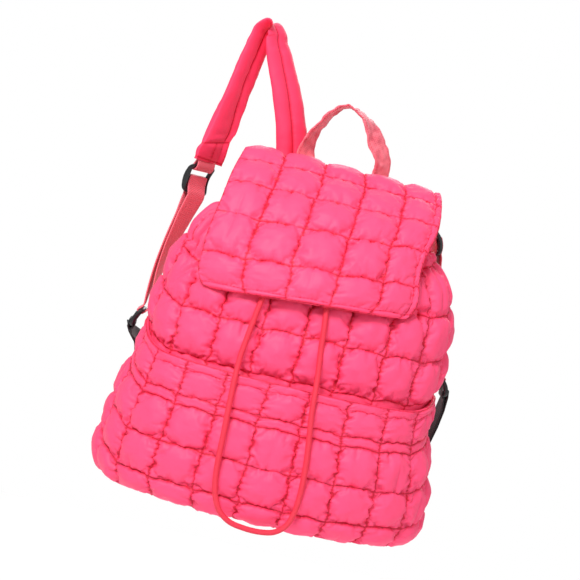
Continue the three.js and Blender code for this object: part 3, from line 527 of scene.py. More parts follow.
def nylon_material(name, groove_thread_and_shade_tone, slope_shade_tone, face_tone, pale_tone, reach):
    """Smooth nylon, a little shiny. Its colour darkens down in its stitched grooves and on their slopes: the
    thread line there, with painted shade of the grooves and painted shadows of the puckers that cross them.
    """
    material, nodes, links, shader = new_material(name)
    seams = placed_group(nodes, seam_and_pucker_shade, {"Reach": reach})
    ramp = nodes.new("ShaderNodeValToRGB")
    stops = ramp.color_ramp.elements
    stops.new(0.34)
    for stop, tone in zip(stops, (groove_thread_and_shade_tone, slope_shade_tone, face_tone)):
        stop.color = (*tone, 1.0)
    open_share = math_node(nodes, links, "MULTIPLY_ADD", seams.outputs["Distance"], 0.52, -0.15)
    links.new(open_share, ramp.inputs["Fac"])
    tint = math_node(nodes, links, "MULTIPLY", noise(nodes, links, 22.0, 4.0), 0.3)
    links.new(blend(nodes, links, tint, ramp.outputs["Color"], pale_tone), shader.inputs["Base Color"])
    thread = placed_group(nodes, weave_group, {"Across": 900.0, "Along": 900.0})
    creases = noise(nodes, links, 90.0, 5.0, 0.6)
    relief = math_node(nodes, links, "MULTIPLY_ADD", thread.outputs["Height"], 0.06, creases)
    relief = math_node(nodes, links, "MULTIPLY_ADD", seams.outputs["Pucker"], -0.32, relief)
    emboss(nodes, links, shader, relief, 0.5, 0.0012)
    set_inputs(shader, {
        "Roughness": 0.52, "Specular IOR Level": 0.24, "Sheen Weight": 0.06, "Sheen Roughness": 0.4,
        "Sheen Tint": (1.0, 0.5, 0.62, 1.0),
    })
    return material


# Hot pink nylon: the groove tone is the thread line with painted shade down in the stitched grooves, and the
# slope tone is painted shade on the slopes beside them.
nylon = nylon_material(
    "hot_pink_nylon", (0.54, 0.0, 0.018), (0.93, 0.026, 0.095), (0.985, 0.064, 0.178),
    (1.0, 0.108, 0.245), 1.5,
)
thread_cloth, nodes, links, shader = new_material("crimson_thread")
shade = blend(nodes, links, noise(nodes, links, 900.0), (0.50, 0.0, 0.012), (0.78, 0.002, 0.036))
links.new(shade, shader.inputs["Base Color"])
set_inputs(shader, {"Roughness": 0.7, "Specular IOR Level": 0.1})


def grid_surface(surface, u, v):
    """Points, unit side and up directions and outward normals of a surface over a grid."""
    small = 1e-3
    p = surface(u, v)
    along_u = surface(u + small, v) - surface(u - small, v)
    along_v = surface(u, v + small) - surface(u, v - small)
    n, along_u = unit(np.cross(along_u, along_v)), unit(along_u)
    return p, along_u, np.cross(n, along_u), n


# Heights and shifts that gathered thread and filling give the cloth, in millimetres
column_fold, row_fold, dimple, bulge, arch = 2.4, 0.9, 0.8, 1.6, 2.2
short_sway, long_sway, short_lift, long_lift = 1.9, 1.4, 0.7, 1.1
squeeze = 0.68  # a power that makes a square steeper at its stitches and flatter on top
far_from_seams = 6.0


def quilted_sheet(
    name, node, surface, columns, rows, puff, seed, gathered=1.0, faint=((), ()), extra=None
):
    """A quilted sheet over surface(u, v), outside where u runs right and v up, with a lining.
    The seams of the rows and columns in faint hardly show. Returns the sheet's outer points and
    normals, so that stitches can follow its seams."""
    nc, nr = len(columns) - 1, len(rows) - 1
    across, up = nc * cells, nr * cells
    u = np.interp(np.arange(across + 1) / cells, np.arange(nc + 1), columns)
    v = np.interp(np.arange(up + 1) / cells, np.arange(nr + 1), rows)
    uu, vv = np.meshgrid(u, v)
    base = surface(uu, vv)
    run_u = np.array([run_along(row) for row in base])
    run_v = np.array([run_along(column) for column in base.swapaxes(0, 1)]).T
    run_u -= run_u[:, -1:] / 2
    shift = np.zeros((up + 1, across + 1, 3))
    draw = np.random.default_rng(seed)
    for r in range(nr):
        for c in range(nc):
            first_row = int(draw.integers(swatch_rows)) * cells
            first_column = int(draw.integers(swatch_columns)) * cells
            square = swatch_shift[first_row:, first_column:][:cells + 1, :cells + 1].copy()
            if draw.random() < 0.5:
                square = square[:, ::-1] * (-1, 1, 1)
            if draw.random() < 0.5:
                square = square[::-1] * (1, -1, 1)
            middle = (rows[r] + rows[r + 1]) / 2
            ends = surface(np.array([columns[c], columns[c + 1]]), np.array([middle, middle]))
            feet = surface(np.array([columns[c], columns[c]]), np.array([rows[r], rows[r + 1]]))
            rise = puff(np.linalg.norm(ends[1] - ends[0]), np.linalg.norm(feet[1] - feet[0]), c, r)
            rise *= 0.9 + 0.2 * draw.random()
            height = square[..., 2]
            square[..., 2] = swatch_top * np.sign(height) * (np.abs(height) / swatch_top) ** squeeze
            size = (columns[c + 1] - columns[c], rows[r + 1] - rows[r], rise / swatch_top)
            block = (slice(r * cells, (r + 1) * cells + 1), slice(c * cells, (c + 1) * cells + 1))
            shift[block] = np.where(square == 0, shift[block], square * size)
    p, side, rise_way, n = grid_surface(surface, uu + shift[..., 0], vv + shift[..., 1])
    # Distance to the nearest stitches, along each way
    counts_u, counts_v = np.arange(across + 1), np.arange(up + 1)
    near_u = np.minimum(counts_u % cells, -counts_u % cells)[None, :] * np.gradient(run_u, axis=1)
    near_v = np.minimum(counts_v % cells, -counts_v % cells)[:, None] * np.gradient(run_v, axis=0)
    hem = smooth_step(np.minimum(vv - rows[0], rows[-1] - vv) / (rows[-1] - rows[0]), 0, 0.04)
    edge = smooth_step(np.minimum(uu - columns[0], columns[-1] - uu) / (columns[-1] - columns[0]), 0, 0.03)
    # Pulled thread: short folds that cross the seams, and seams that waver
    by_column = mound(near_u, 7.0) * (1 - mound(near_u, 1.8)) * (1 - mound(near_v, 3.0))
    folds = ripple(run_u * 0.4, run_v, 3.2, seed + 2)
    by_row = mound(near_v, 7.0) * (1 - mound(near_v, 2.2)) * (1 - mound(near_u, 3.0))
    row_folds = ripple(run_u, run_v * 0.35, 5.0, seed + 3)
    out = shift[..., 2] + gathered * (column_fold * by_column * folds + row_fold * by_row * row_folds)
    out += dimple * ripple(run_u, run_v, 16.0, seed + 4) * smooth_step(np.minimum(near_u, near_v), 1, 8)
    sway = gathered * short_sway * ripple(run_u * 0.1, run_v, 3.4, seed + 5)
    sway += long_sway * ripple(run_u * 0.2, run_v, 17.0, seed + 6)
    sway *= edge * mound(near_u, 7.0)
    lift = short_lift * ripple(run_u, run_v * 0.2, 5.0, seed + 7)
    lift += long_lift * ripple(run_u, run_v * 0.2, 30.0, seed + 8)
    lift *= hem * mound(near_v, 10.0)
    # Between two columns of stitches the filling pushes the rows up into low arches
    column_share = (counts_u % cells / cells)[None, :]
    arches = arch + 1.2 * ripple(run_u * 0.3, run_v, 37.0, seed + 10)
    lift += hem * np.sin(np.pi * column_share) ** 0.8 * arches
    bulk = edge * hem * bulge * ripple(run_u, run_v, 70.0, seed + 9)
    folded = extra(uu, vv, run_u, run_v) if extra else 0 * out
    out = out + folded
    outer = p + n * (wall / 2 + out + bulk)[..., None] + side * sway[..., None] + rise_way * lift[..., None]
    step = cells // 4
    p_in, _, _, n_in = grid_surface(surface, uu[::step, ::step], vv[::step, ::step])
    inner = p_in - n_in * wall / 2
    points = np.concatenate([outer.reshape(-1, 3), inner.reshape(-1, 3)])
    wide = across + 1
    corner = (np.arange(up)[:, None] * wide + np.arange(across)[None, :]).ravel()
    faces = np.stack([corner, corner + 1, corner + wide + 1, corner + wide], axis=1).tolist()
    few, tall = across // step, up // step

    def inside(j, i):
        return outer.shape[0] * wide + j * (few + 1) + i

    for j in range(tall):
        for i in range(few):
            faces.append((inside(j, i), inside(j + 1, i), inside(j + 1, i + 1), inside(j, i + 1)))
    for i in range(few):
        low = [i * step + k for k in range(step + 1)]
        faces.append((inside(0, i), inside(0, i + 1), *low[::-1]))
        faces.append((inside(tall, i + 1), inside(tall, i), *(up * wide + k for k in low)))
    for j in range(tall):
        left = [(j * step + k) * wide for k in range(step + 1)]
        faces.append((inside(j + 1, 0), inside(j, 0), *left))
        faces.append((inside(j, few), inside(j + 1, few), *(k + across for k in left[::-1])))
    # Painted shade: the deep creases by the mouth count as near a seam here, so the groove and slope tones
    # darken the colour along them.
    near_u = np.minimum(near_u, np.maximum(0.3, 5.5 + 0.9 * folded))
    half_square = cells // 2
    for row in faint[0]:
        near_v[row * cells - half_square:row * cells + half_square] += 1.4
    for column in faint[1]:
        near_u[:, column * cells - half_square:column * cells + half_square] += 1.2
    lining = np.full(inner.size // 3, far_from_seams)
    values = {"from_columns": np.append(near_u, lining), "from_rows": np.append(near_v, lining)}
    places = np.stack([run_u, run_v], axis=-1)
    uvs = np.concatenate([places.reshape(-1, 2), places[::step, ::step].reshape(-1, 2)])
    sheet = make_piece(name, points, faces, uvs, nylon, values)
    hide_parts(node)
    return outer, n


def sew(name, lines, pitch=3.7, length=2.7, thick=0.5, sink=0.2):
    """Rows of short stitches along lines, each a pair of points and outward directions. A stitch
    is a thread of four sides that dips into the cloth at both ends."""
    points, faces = [], []
    for path, outward in lines:
        run = run_along(path)
        for k in range(int(run[-1] // pitch)):
            spots = np.array([(k + 0.15) * pitch, (k + 0.15) * pitch + length])
            if spots[1] > run[-1]:
                break
            a, b = (np.array([np.interp(spot, run, path[:, axis]) for axis in range(3)]) for spot in spots)
            way = (b - a) / max(np.linalg.norm(b - a), 1e-6)
            up_way = np.array([np.interp(spots.mean(), run, outward[:, axis]) for axis in range(3)])
            up_way -= way * up_way.dot(way)
            up_way /= max(np.linalg.norm(up_way), 1e-6)
            side_way = np.cross(way, up_way)
            first = len(points)
            points.append(a - up_way * sink)
            for share in (0.22, 0.78):
                middle = a + (b - a) * share + up_way * (thick * 0.45 - sink)
                for angle in range(4):
                    c, s = math.cos(math.pi * angle / 2), math.sin(math.pi * angle / 2)
                    points.append(middle + thick / 2 * (c * side_way + s * up_way))
            points.append(b - up_way * sink)
            for q in range(4):
                n = (q + 1) % 4
                faces.append((first, first + 1 + n, first + 1 + q))
                faces.append((first + 1 + q, first + 1 + n, first + 5 + n, first + 5 + q))
                faces.append((first + 9, first + 5 + q, first + 5 + n))
    make_piece(name, points, faces, None, thread_cloth)


def sew_seams(name, outer, normals):
    """Stitches along every inner seam of a quilted sheet."""
    lines = [(outer[:, c], normals[:, c]) for c in range(cells, outer.shape[1] - 1, cells)]
    lines += [(outer[r], normals[r]) for r in range(cells, outer.shape[0] - 1, cells)]
    sew(name, lines)


def evenly(count):
    return [k / count for k in range(count + 1)]


corner_left, corner_right = 180 - corner_turn, 360 + corner_turn
shell_plan = (shell_width / 2, shell_front, shell_back)
shell_angle = even_angles(corner_left, corner_right, *shell_plan, corner_gap / 2)
shell_rows = [bottom_edge] + [pocket_height + wall / 2 + k * quilt_pitch for k in range(-3, 4)]
shell_rows += [shell_height - shell_hem, shell_height]
rows_in_pocket = 4


def shell_place(angle, z, spread):
    flat_x, flat_y = plan_point(angle, *shell_plan)
    height = z + row_rise(flat_x, flat_y, shell_width / 2, shell_front) * rise_share(z)
    x, y = plan_point(angle, shell_half_width(height) + spread, shell_front_at(height) + spread, shell_back)
    return np.stack([x + lean_at(height), y, height], axis=-1)


def shell_surface(u, z):
    in_front = smooth_step(np.minimum(u, 1 - u), 0, 1 / shell_columns)
    drawn = gather_depth * in_front * smooth_step(z, shell_height - quilt_pitch, shell_height - shell_hem)
    return shell_place(shell_angle(u), z, -drawn * (0.5 + 0.5 * np.cos(2 * np.pi * shell_columns * u)))


# Deep creases beside the flap: where each starts and ends, how deep and how wide it is
shell_girth = 560.0
mouth_creases = [
    (0.214, 241, 0.145, 238, 6.5, 3.2), (0.213, 236, 0.19, 229, 6.0, 2.6),
    (0.19, 229, 0.163, 207, 5.0, 2.6), (0.214, 240, 0.205, 258, 4.5, 3.0),
    (0.24, 226, 0.208, 200, 5.0, 2.8), (0.247, 224, 0.25, 196, 3.0, 2.2),
    (0.667, 222, 0.695, 196, 6.0, 3.0), (0.72, 232, 0.745, 205, 5.5, 2.6),
    (0.718, 233, 0.76, 236, 5.0, 3.2), (0.705, 243, 0.718, 230, 4.5, 2.6),
    (0.667, 222, 0.718, 230, 3.0, 2.4),
]


def mouth_folds(u, z, run_u, run_v):
    """Folds that run down from the drawn mouth, strongest on the left shoulder, which bulges."""
    near_mouth = smooth_step(z, 195, 285) * smooth_step(np.minimum(u, 1 - u), 0, 0.06)
    wander = 0.45 * ripple(run_u, run_v, 34.0, 41)
    depth = 2.6 + 3.0 * mound(u, 0.12, 0.2) + 1.2 * ripple(run_u, run_v, 25.0, 42)
    folds = near_mouth * depth * (2 * np.abs(np.sin(np.pi * (u * 30 + wander))) ** 0.7 - 1.3)
    shoulder = mound(u, 0.1, 0.13) * mound(z, 26, 258)
    place = np.stack([u * shell_girth, z], axis=-1)
    for start_u, start_z, end_u, end_z, deep, wide in mouth_creases:
        start = np.array([start_u * shell_girth, start_z])
        way = np.array([(end_u - start_u) * shell_girth, end_z - start_z])
        share = np.clip((place - start) @ way / (way @ way), 0, 1)
        away = np.linalg.norm(place - start - share[..., None] * way, axis=-1)
        folds = folds - deep * (1 - 0.7 * share) * mound(away, wide)
    return folds + 4.5 * shoulder


shell_outer, shell_normals = quilted_sheet(
    "quilted_shell", "shell", shell_surface, evenly(shell_columns), shell_rows,
    lambda width, height, column, row: flat_puff if row < rows_in_pocket else full_puff(width, height),
    seed=3, extra=mouth_folds,
)
pocket_floor = (rows_in_pocket - 1) * cells
sew_seams("shell_stitches", shell_outer[pocket_floor:], shell_normals[pocket_floor:])


# Back panel: the flat quilted side that lies on the wearer's back. It is taller than the mouth,
# and the flap, the handle and the shoulder straps are sewn to the plain band along its top.
back_columns, back_hem = 6, 22.0
back_angle = even_angles(corner_turn, corner_left, *shell_plan, corner_gap / 2)
back_rows = [z + (row_rise_left + row_rise_right) / 2 * float(rise_share(z)) for z in shell_rows[:-1]]
back_rows += [back_height - back_hem, back_height]


def back_surface(u, z):
    x, y = plan_point(back_angle(u), shell_half_width(z), shell_front_at(z), shell_back)
    return np.stack([x + lean_at(z), y, z + 0 * x], axis=-1)


sew_seams("back_panel_stitches", *quilted_sheet(
    "quilted_back_panel", "back_panel", back_surface, evenly(back_columns), back_rows,
    lambda width, height, column, row: full_puff(width, height) if row < len(back_rows) - 2 else 0.0, seed=14,
))


# Front pocket: a second quilted sheet that stands off the lower half of the bag, sewn in along
# the base and both back corners, with a narrow gathered band at its mouth.
pocket_columns, pocket_room_front, pocket_room_side = 13, 17.5, 10.0
pocket_sections = [
    (0.05, 0.8, 0.5), (0.1, 0.95, 0.76), (0.18, 1.0, 0.94), (0.43, 0.85, 1.0), (0.7, 0.7, 1.0),
    (0.88, 0.6, 0.97), (1.0, 0.55, 1.0),
]
pocket_rows = [bottom_edge / pocket_height, 0.183, 0.43, 0.694, 0.76, 0.93, 1.0]
pocket_half_width, pocket_front = shell_width / 2 + pocket_room_side, shell_front + pocket_room_front
pocket_plan = (pocket_half_width, pocket_front, shell_back)
pocket_angle = even_angles(corner_left, corner_right, *pocket_plan, seam_gap / 2)


def pocket_surface(u, share):
    angle = pocket_angle(u)
    z = share * pocket_height
    flat_x, flat_y = plan_point(angle, *pocket_plan)
    rise = row_rise(flat_x, flat_y, pocket_half_width, pocket_front)
    height = z + rise * smooth_step(z, bottom_edge, quilt_pitch / 2)
    height = height - 2.5 * (1 - smooth_step(share, 0.04, 0.183)) * np.abs(flat_x / pocket_half_width) ** 6
    x, y = plan_point(
        angle,
        shell_half_width(height) + pocket_room_side * read_table(pocket_sections, 1, share),
        shell_front_at(height) + pocket_room_front * read_table(pocket_sections, 2, share),
        shell_back + wall + 2,
    )
    x = x + 2.6 * mound(z, 34, 118) * np.clip(-flat_x / pocket_half_width, 0, 1) ** 4
    x = x + 3.2 * mound(z, 32, 48) * np.clip(flat_x / pocket_half_width, 0, 1) ** 4
    return np.stack([x + lean_at(height), y, height], axis=-1)


sew_seams("pocket_stitches", *quilted_sheet(
    "quilted_front_pocket", "front_pocket", pocket_surface, evenly(pocket_columns), pocket_rows,
    lambda width, height, column, row: full_puff(width, height) + 1.5 * (row == 0), seed=27, faint=((5,), ()),
))


# Flap: a quilted sheet sewn to the top of the back panel and folded over the mouth. Its free
# edges are turned in and sewn down, which leaves a narrow band round them.
flap_width, flap_flare, flap_tall = 202.0, 9.0, 129.0
flap_hem_row, flap_corner, flap_wrap = 31.0, 26.0, 22.0
flap_hem_shift, flap_hem_slant = -2.0, 15.0
flap_edge_band, band_puff = 3.4, 1.8
flap_profile = [
    (1.0, 0.0), (0.93, 0.236), (0.785, 0.52), (0.585, 0.752), (0.34, 0.93), (0.2, 0.99), (0.11, 1.0),
    (0.035, 0.95), (0.003, 0.88), (0.0, 0.82),
]
hinge_z = back_height + seam_gap
flap_hem_z = hinge_z - flap_profile[-1][1] * flap_tall
flap_reach = shell_back + float(shell_front_at(flap_hem_z)) + puff_height + wall + cord_diameter + 2.5
profile_path = smooth_route([
    (0.0, shell_back - reach * flap_reach, flap_hem_z + height * flap_tall) for reach, height in flap_profile
], 1600)
profile_run = run_along(profile_path)
flap_length = float(profile_run[-1])
flap_rows = [0.0, flap_hem_row]
while flap_rows[-1] + 1.2 * quilt_pitch < flap_length:
    flap_rows.append(flap_rows[-1] + quilt_pitch - 1)
flap_rows.append(flap_length)


def flap_surface(u, along):
    share = np.clip(along / flap_length, 0.0, 1.0)
    y = np.interp(along, profile_run, profile_path[:, 1])
    z = np.interp(along, profile_run, profile_path[:, 2])
    over = along - share * flap_length
    start_way, end_way = unit(profile_path[1] - profile_path[0]), unit(profile_path[-1] - profile_path[-2])
    y = y + np.where(over > 0, over * end_way[1], over * start_way[1])
    z = z + np.where(over > 0, over * end_way[2], over * start_way[2])
    across = 2 * u - 1
    hemward = 1 - smooth_step(share, 0, 0.8)
    from_hem = np.maximum(0.0, flap_corner - along)
    drawn_in = flap_corner - np.sqrt(np.maximum(0.0, flap_corner**2 - from_hem**2))
    half_width = flap_width / 2 + flap_flare * hemward - 0.6 * drawn_in
    side = np.abs(across) ** 2.5
    x = across * half_width + top_shift + (flap_hem_shift - top_shift) * hemward
    on_crown = mound(share, 0.2, 0.62)
    x = x - 5.0 * on_crown * np.clip(-across, 0, 1) ** 2
    x = x + 3.0 * mound(share, 0.1, 0.1) * np.clip(-across, 0, 1) ** 2
    x = x - 9.5 * mound(share, 0.18, 0.22) * np.clip(across, 0, 1) ** 2
    z = z - on_crown * (5.0 * np.abs(across) ** 8 + 2.5 * (1 - across**2))
    return np.stack([x, y + flap_wrap * hemward * side, z + across * flap_hem_slant * hemward / 2], axis=-1)


def flap_puff(width, height, column, row):
    if row == 0 or column == 5:
        return band_puff
    return full_puff(width, height) * (row < len(flap_rows) - 1) * (0.75 if row > 3 else 1)


flap_columns = [0.0, 0.2, 0.4, 0.605, 0.81, 1 - 2 * flap_edge_band / flap_width, 1.0]
sew_seams("flap_stitches", *quilted_sheet(
    "quilted_flap", "flap", flap_surface, flap_columns, [0.0, flap_edge_band] + flap_rows[1:], flap_puff,
    seed=35, gathered=0.6, faint=((1,), (5,)),
))


# Base: a plain padded panel under the bag, with a round piping where the side panels meet it.
base_overhang = 4.0
rim_z = 7.9
plate_rings = [
    (0.3, base_thickness), (0.6, base_thickness), (0.9, base_thickness), (0.975, base_thickness - 0.3),
    (0.993, base_thickness - 1.4), (1.0, base_thickness / 2), (0.993, 1.5), (0.975, 0.6), (0.95, 0.25),
]
plate_rings += [(0.95 - 0.025 * k, 0.0) for k in range(1, 38)]


def base_lift(x, y):
    """How far the filling of the pocket draws the front edge of the base up."""
    middle = 1 - np.minimum(np.abs(x / shell_half_width(bottom_edge)), 1.0) ** 8
    return 6.3 * middle * smooth_step(-y / shell_front, 0.3, 0.95)


plate_angles = np.arange(0, 360, 1.5)
plan_x, plan_y = plan_point(
    plate_angles, shell_half_width(bottom_edge) + base_overhang, shell_front_at(bottom_edge) + base_overhang,
    shell_back + base_overhang,
)
points = []
for reach, z in plate_rings:
    x, y = reach * plan_x, reach * plan_y
    low = np.zeros_like(x)
    if z < base_thickness / 2:
        square = np.abs(np.sin(np.pi * (x - 20) / quilt_pitch) * np.sin(np.pi * (y + 8) / quilt_pitch))
        low = 1.9 * (1 - square ** 0.35) * smooth_step(1 - reach, 0, 0.08)
    lifted = base_lift(x, y) * (1 - z / base_thickness)
    points += np.stack([x, y, z + low + lifted + 0.25 * ripple(x, y, 17.0, 61)], axis=-1).tolist()
around = len(plate_angles)
faces = []
for ring in range(len(plate_rings) - 1):
    for k in range(around):
        n = (k + 1) % around
        a, b = ring * around, (ring + 1) * around
        faces.append((a + k, b + k, b + n, a + n))
points += [[0, 0, base_thickness], [0, 0, 1.0]]
last_ring = (len(plate_rings) - 1) * around
for k in range(around):
    n = (k + 1) % around
    faces.append((len(points) - 2, k, n))
    faces.append((len(points) - 1, last_ring + n, last_ring + k))
points = np.array(points)
base_panel = make_piece(
    "padded_base", points, faces, points[:, :2], nylon,
    {label: np.full(len(points), far_from_seams) for label in ("from_columns", "from_rows")},
)
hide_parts("base_panel")


def puckers(run, angle):
    return 0.12 * math.sin(run * 1.9) * math.sin(run * 0.43 + 2)


def piping(name, path, radius):
    """A cloth-covered cord sewn into a seam."""
    around = 12
    values = {label: np.full(len(path) * around, 3.5) for label in ("from_columns", "from_rows")}
    tube(name, path, radius, around, nylon, puckers, (0.3, 0.5, 0.8), values)


rim_angles = np.linspace(0, 360, 241)
rim_x, rim_y = plan_point(
    rim_angles, shell_half_width(rim_z) + 5.5, shell_front_at(rim_z) + 6.0, shell_back + 4.5
)
piping("base_piping", np.stack([rim_x, rim_y, rim_z + 0.25 * base_lift(rim_x, rim_y)], axis=-1)[:-1], 1.8)
for side_name, angle in (("left", 180 - corner_turn), ("right", corner_turn)):
    z = np.linspace(bottom_edge, shell_height, 90)
    x, y = plan_point(angle, shell_half_width(z), shell_front_at(z), shell_back)
    piping(f"corner_piping_{side_name}", np.stack([x + lean_at(z), y + 0 * z, z], axis=-1), 1.9)


# Straps: their pads, webbing and hardware all follow routes that are given as shares of the
# shell's half width, its depth behind the side line, and the height of the back panel.
webbing_width, webbing = 25.0, 1.5
pad_width, pad_thickness, pad_cup = 40.0, 13.0, 3.0
handle_thickness, handle_rise = 2.0, 85.0
strap_rise, strap_drop = 152.0, 98.0
tape_points = 9  # points across each face of a tape
thread_gap, bar, bar_thickness = 0.35, 4.5, 4.0
slider_upper_slot, slider_lower_slot, slider_bow = 9.0, 7.5, 5.0
ring_slot, ring_bow = 13.0, 3.0
keeper_length = 9.0
hem_face = shell_back + wall / 2
handle_behind = (hem_face + seam_gap + handle_thickness / 2) / shell_back
pad_root = 0.3
pad_behind = (hem_face + 2 * seam_gap + handle_thickness + pad_thickness * pad_root / 2) / shell_back
slider_height = 3 * bar + slider_upper_slot + slider_lower_slot
ring_height = 2 * bar + ring_slot


def place_of(side, behind, height):
    return np.array([side * shell_width / 2, behind * shell_back, height * back_height])


def over_top(side, behind, rise, length):
    return place_of(side, behind, 1 + rise * length / back_height)


def width_at(turn):
    return np.array([math.cos(math.radians(turn)), math.sin(math.radians(turn)), 0.0])


def frame_at(side, behind, height, turn, lean):
    """Place and directions of a slider or ring: across the webbing, up the strap, outwards."""
    across = width_at(turn)
    tilt = math.radians(lean)
    up = np.array([math.sin(tilt), 0.0, math.cos(tilt)])
    up = unit(up - across * up.dot(across))
    return place_of(side, behind, height), across, up, np.cross(across, up)


def in_hardware(hardware, side, height, depth):
    origin, across, up, out = hardware[:4]
    return origin + across * side + up * height + out * depth


def strap_stations(route, length, per_span):
    """Middles, width directions and fullness along a route."""
    places = [row[0] if len(row) == 3 else over_top(*row[:3], length) for row in route]
    middles = smooth_route(places, (len(route) - 1) * per_span)
    steps = np.arange(len(middles)) / per_span
    turns = np.radians(np.interp(steps, np.arange(len(route)), [row[-2] for row in route]))
    full = np.interp(steps, np.arange(len(route)), [row[-1] for row in route])
    return middles, np.stack([np.cos(turns), np.sin(turns), 0 * turns], axis=-1), full


def turned_widths(widths, per_span):
    """Width directions that turn evenly from each station to the next."""
    steps = np.arange((len(widths) - 1) * per_span + 1) / per_span
    spots = np.arange(len(widths))
    return np.stack([np.interp(steps, spots, axis) for axis in np.transpose(widths)], axis=-1)


def tape_section(width, thickness):
    """A flat tape with rounded edges, as points across and outwards."""
    half, edge = width / 2, thickness / 2
    flat = np.linspace(-half + edge, half - edge, tape_points)
    turn = np.array([0.8, 1.57, 2.34])
    rounded = np.stack([half - edge + edge * np.sin(turn), -edge * np.cos(turn)], axis=-1)
    ring = np.concatenate([np.stack([flat, 0 * flat - edge], axis=-1), rounded])
    return np.concatenate([ring, -ring])


def strip(name, middles, widths, sections, material, closed=False, values=None, squared=1.0):
    """A soft strip through stations, with a ring of points across and outwards at each one.
    Its rings stand square to its path, or where squared is 0 they lie along the widths."""
    if closed:
        along = unit(np.roll(middles, -1, axis=0) - np.roll(middles, 1, axis=0))
    else:
        along = unit(np.gradient(middles, axis=0))
    across = unit(widths - along * (squared * np.sum(widths * along, axis=1))[:, None])
    out = unit(np.cross(across, along))
    sections = np.broadcast_to(sections, (len(middles), *sections.shape[-2:]))
    grid = middles[:, None] + sections[..., :1] * across[:, None] + sections[..., 1:] * out[:, None]
    girth = run_along(np.vstack([sections[0], sections[0][:1]]))
    run = run_along(np.vstack([middles, middles[:1]]) if closed else middles)
    faces, uvs = ring_faces(run, girth, closed)
    return make_piece(name, grid.reshape(-1, 3), faces, uvs, material, values), grid, out


webbing_cloth = woven_material("coral_webbing", (0.62, 0.055, 0.095), (0.97, 0.19, 0.25), 0.5, 0.6, 0.2)
black_cloth = woven_material("black_webbing", (0.004, 0.004, 0.005), (0.03, 0.03, 0.034), 0.5, 0.7, 0.15)


# Top handle: one piece of coral webbing, folded double and sewn flat to the band behind the
# flap at both ends.
handle_route = [
    (-0.185, handle_behind, -0.235, 0, 1), (-0.183, handle_behind, -0.024, 0, 1),
    (-0.187, handle_behind + 0.034, 0.224, 26, 1), (-0.196, 1.136, 0.494, 57, 1),
    (-0.130, 1.114, 0.81, 71, 1), (-0.036, 1.068, 1.035, 76, 1), (0.048, 1.045, 1.05, 76, 1),
    (0.156, 1.045, 0.937, 60, 1), (0.257, 1.091, 0.70, 42, 1), (0.330, 1.136, 0.47, 46, 1),
    (0.318, handle_behind + 0.034, 0.224, 42, 1), (0.292, handle_behind, -0.024, 0, 1),
    (0.292, handle_behind, -0.235, 0, 1),
]
middles, widths, _ = strap_stations(handle_route, handle_rise, 16)
steps = np.arange(len(middles))[:, None] * 1.4
handle_sections = np.repeat(tape_section(webbing_width, handle_thickness)[None], len(middles), axis=0)
free = smooth_step(np.minimum(steps, steps[::-1]) / steps[-1], 0.14, 0.24)
across = handle_sections[..., 0]
worn_waves = 1.5 * ripple(steps, across, 12.0, 81) + 1.0 * ripple(steps, across, 5.0, 82)
handle_sections[..., 1] += free * worn_waves
# Its mottled patches are painted light and shade of the creased webbing.
handle_cloth = woven_material(
    "coral_webbing_painted_creases", (0.60, 0.04, 0.08), (0.97, 0.19, 0.25), 0.6, 0.5, 0.3, mottled=2.4
)
handle, grid, out = strip("woven_top_handle", middles, widths, handle_sections, handle_cloth)
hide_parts("top_handle")


def tape_lines(face, shares, rows, span):
    """Stitch lines on a face of the handle: along it at shares of its width, over a span of its
    grid's rows, and across it at some rows."""
    flat = grid[:, :tape_points] if face < 0 else grid[:, -tape_points - 3:-3][:, ::-1]
    lines = []
    for share in shares:
        i = min(int(share * (tape_points - 1)), tape_points - 2)
        beyond = share * (tape_points - 1) - i
        path = flat[:, i] * (1 - beyond) + flat[:, i + 1] * beyond
        lines.append((path[span], out[span] * face))
    for row in rows:
        lines.append((flat[row][::-face], np.repeat(out[row][None] * face, tape_points, axis=0)))
    return lines


sewn_down = 16
handle_lines = tape_lines(1, (0.08, 0.92), (2, 13), slice(0, sewn_down))
handle_lines += tape_lines(1, (0.08, 0.92), (-3, -14), slice(-sewn_down, None))
for face in (1, -1):
    handle_lines += tape_lines(face, (0.07, 0.93), (), slice(sewn_down, -sewn_down))
sew("handle_stitches", handle_lines, pitch=3.2, length=2.3, thick=0.45)


# Shoulder pads: long padded nylon straps with a line of stitches down the middle, sewn flat to
# the band at their roots and closed with a sewn box where the webbing goes in.
slider_shape, ring_shape = (slider_height, slider_bow), (ring_height, ring_bow)
hardware = {
    "left": (
        frame_at(-0.858, 1.114, 0.939, -133, 12) + slider_shape,
        frame_at(-1.040, 1.000, 0.477, -90, 25) + ring_shape,
    ),
    "right": (
        frame_at(0.801, 1.568, 0.929, 97, -28) + slider_shape,
        frame_at(1.086, 1.045, 0.491, 90, -29) + ring_shape,
    ),
}


def pad_tail(slider, turn):
    """A pad's last two stations, over its slider."""
    spots = ((-2.5, 11), (-3, -4)) if turn < 90 else ((0, 12), (0, 0))
    low = slider_height / 2 + keeper_length
    return [(in_hardware(slider, side, low + more, 0), turn, 0.7) for side, more in spots]


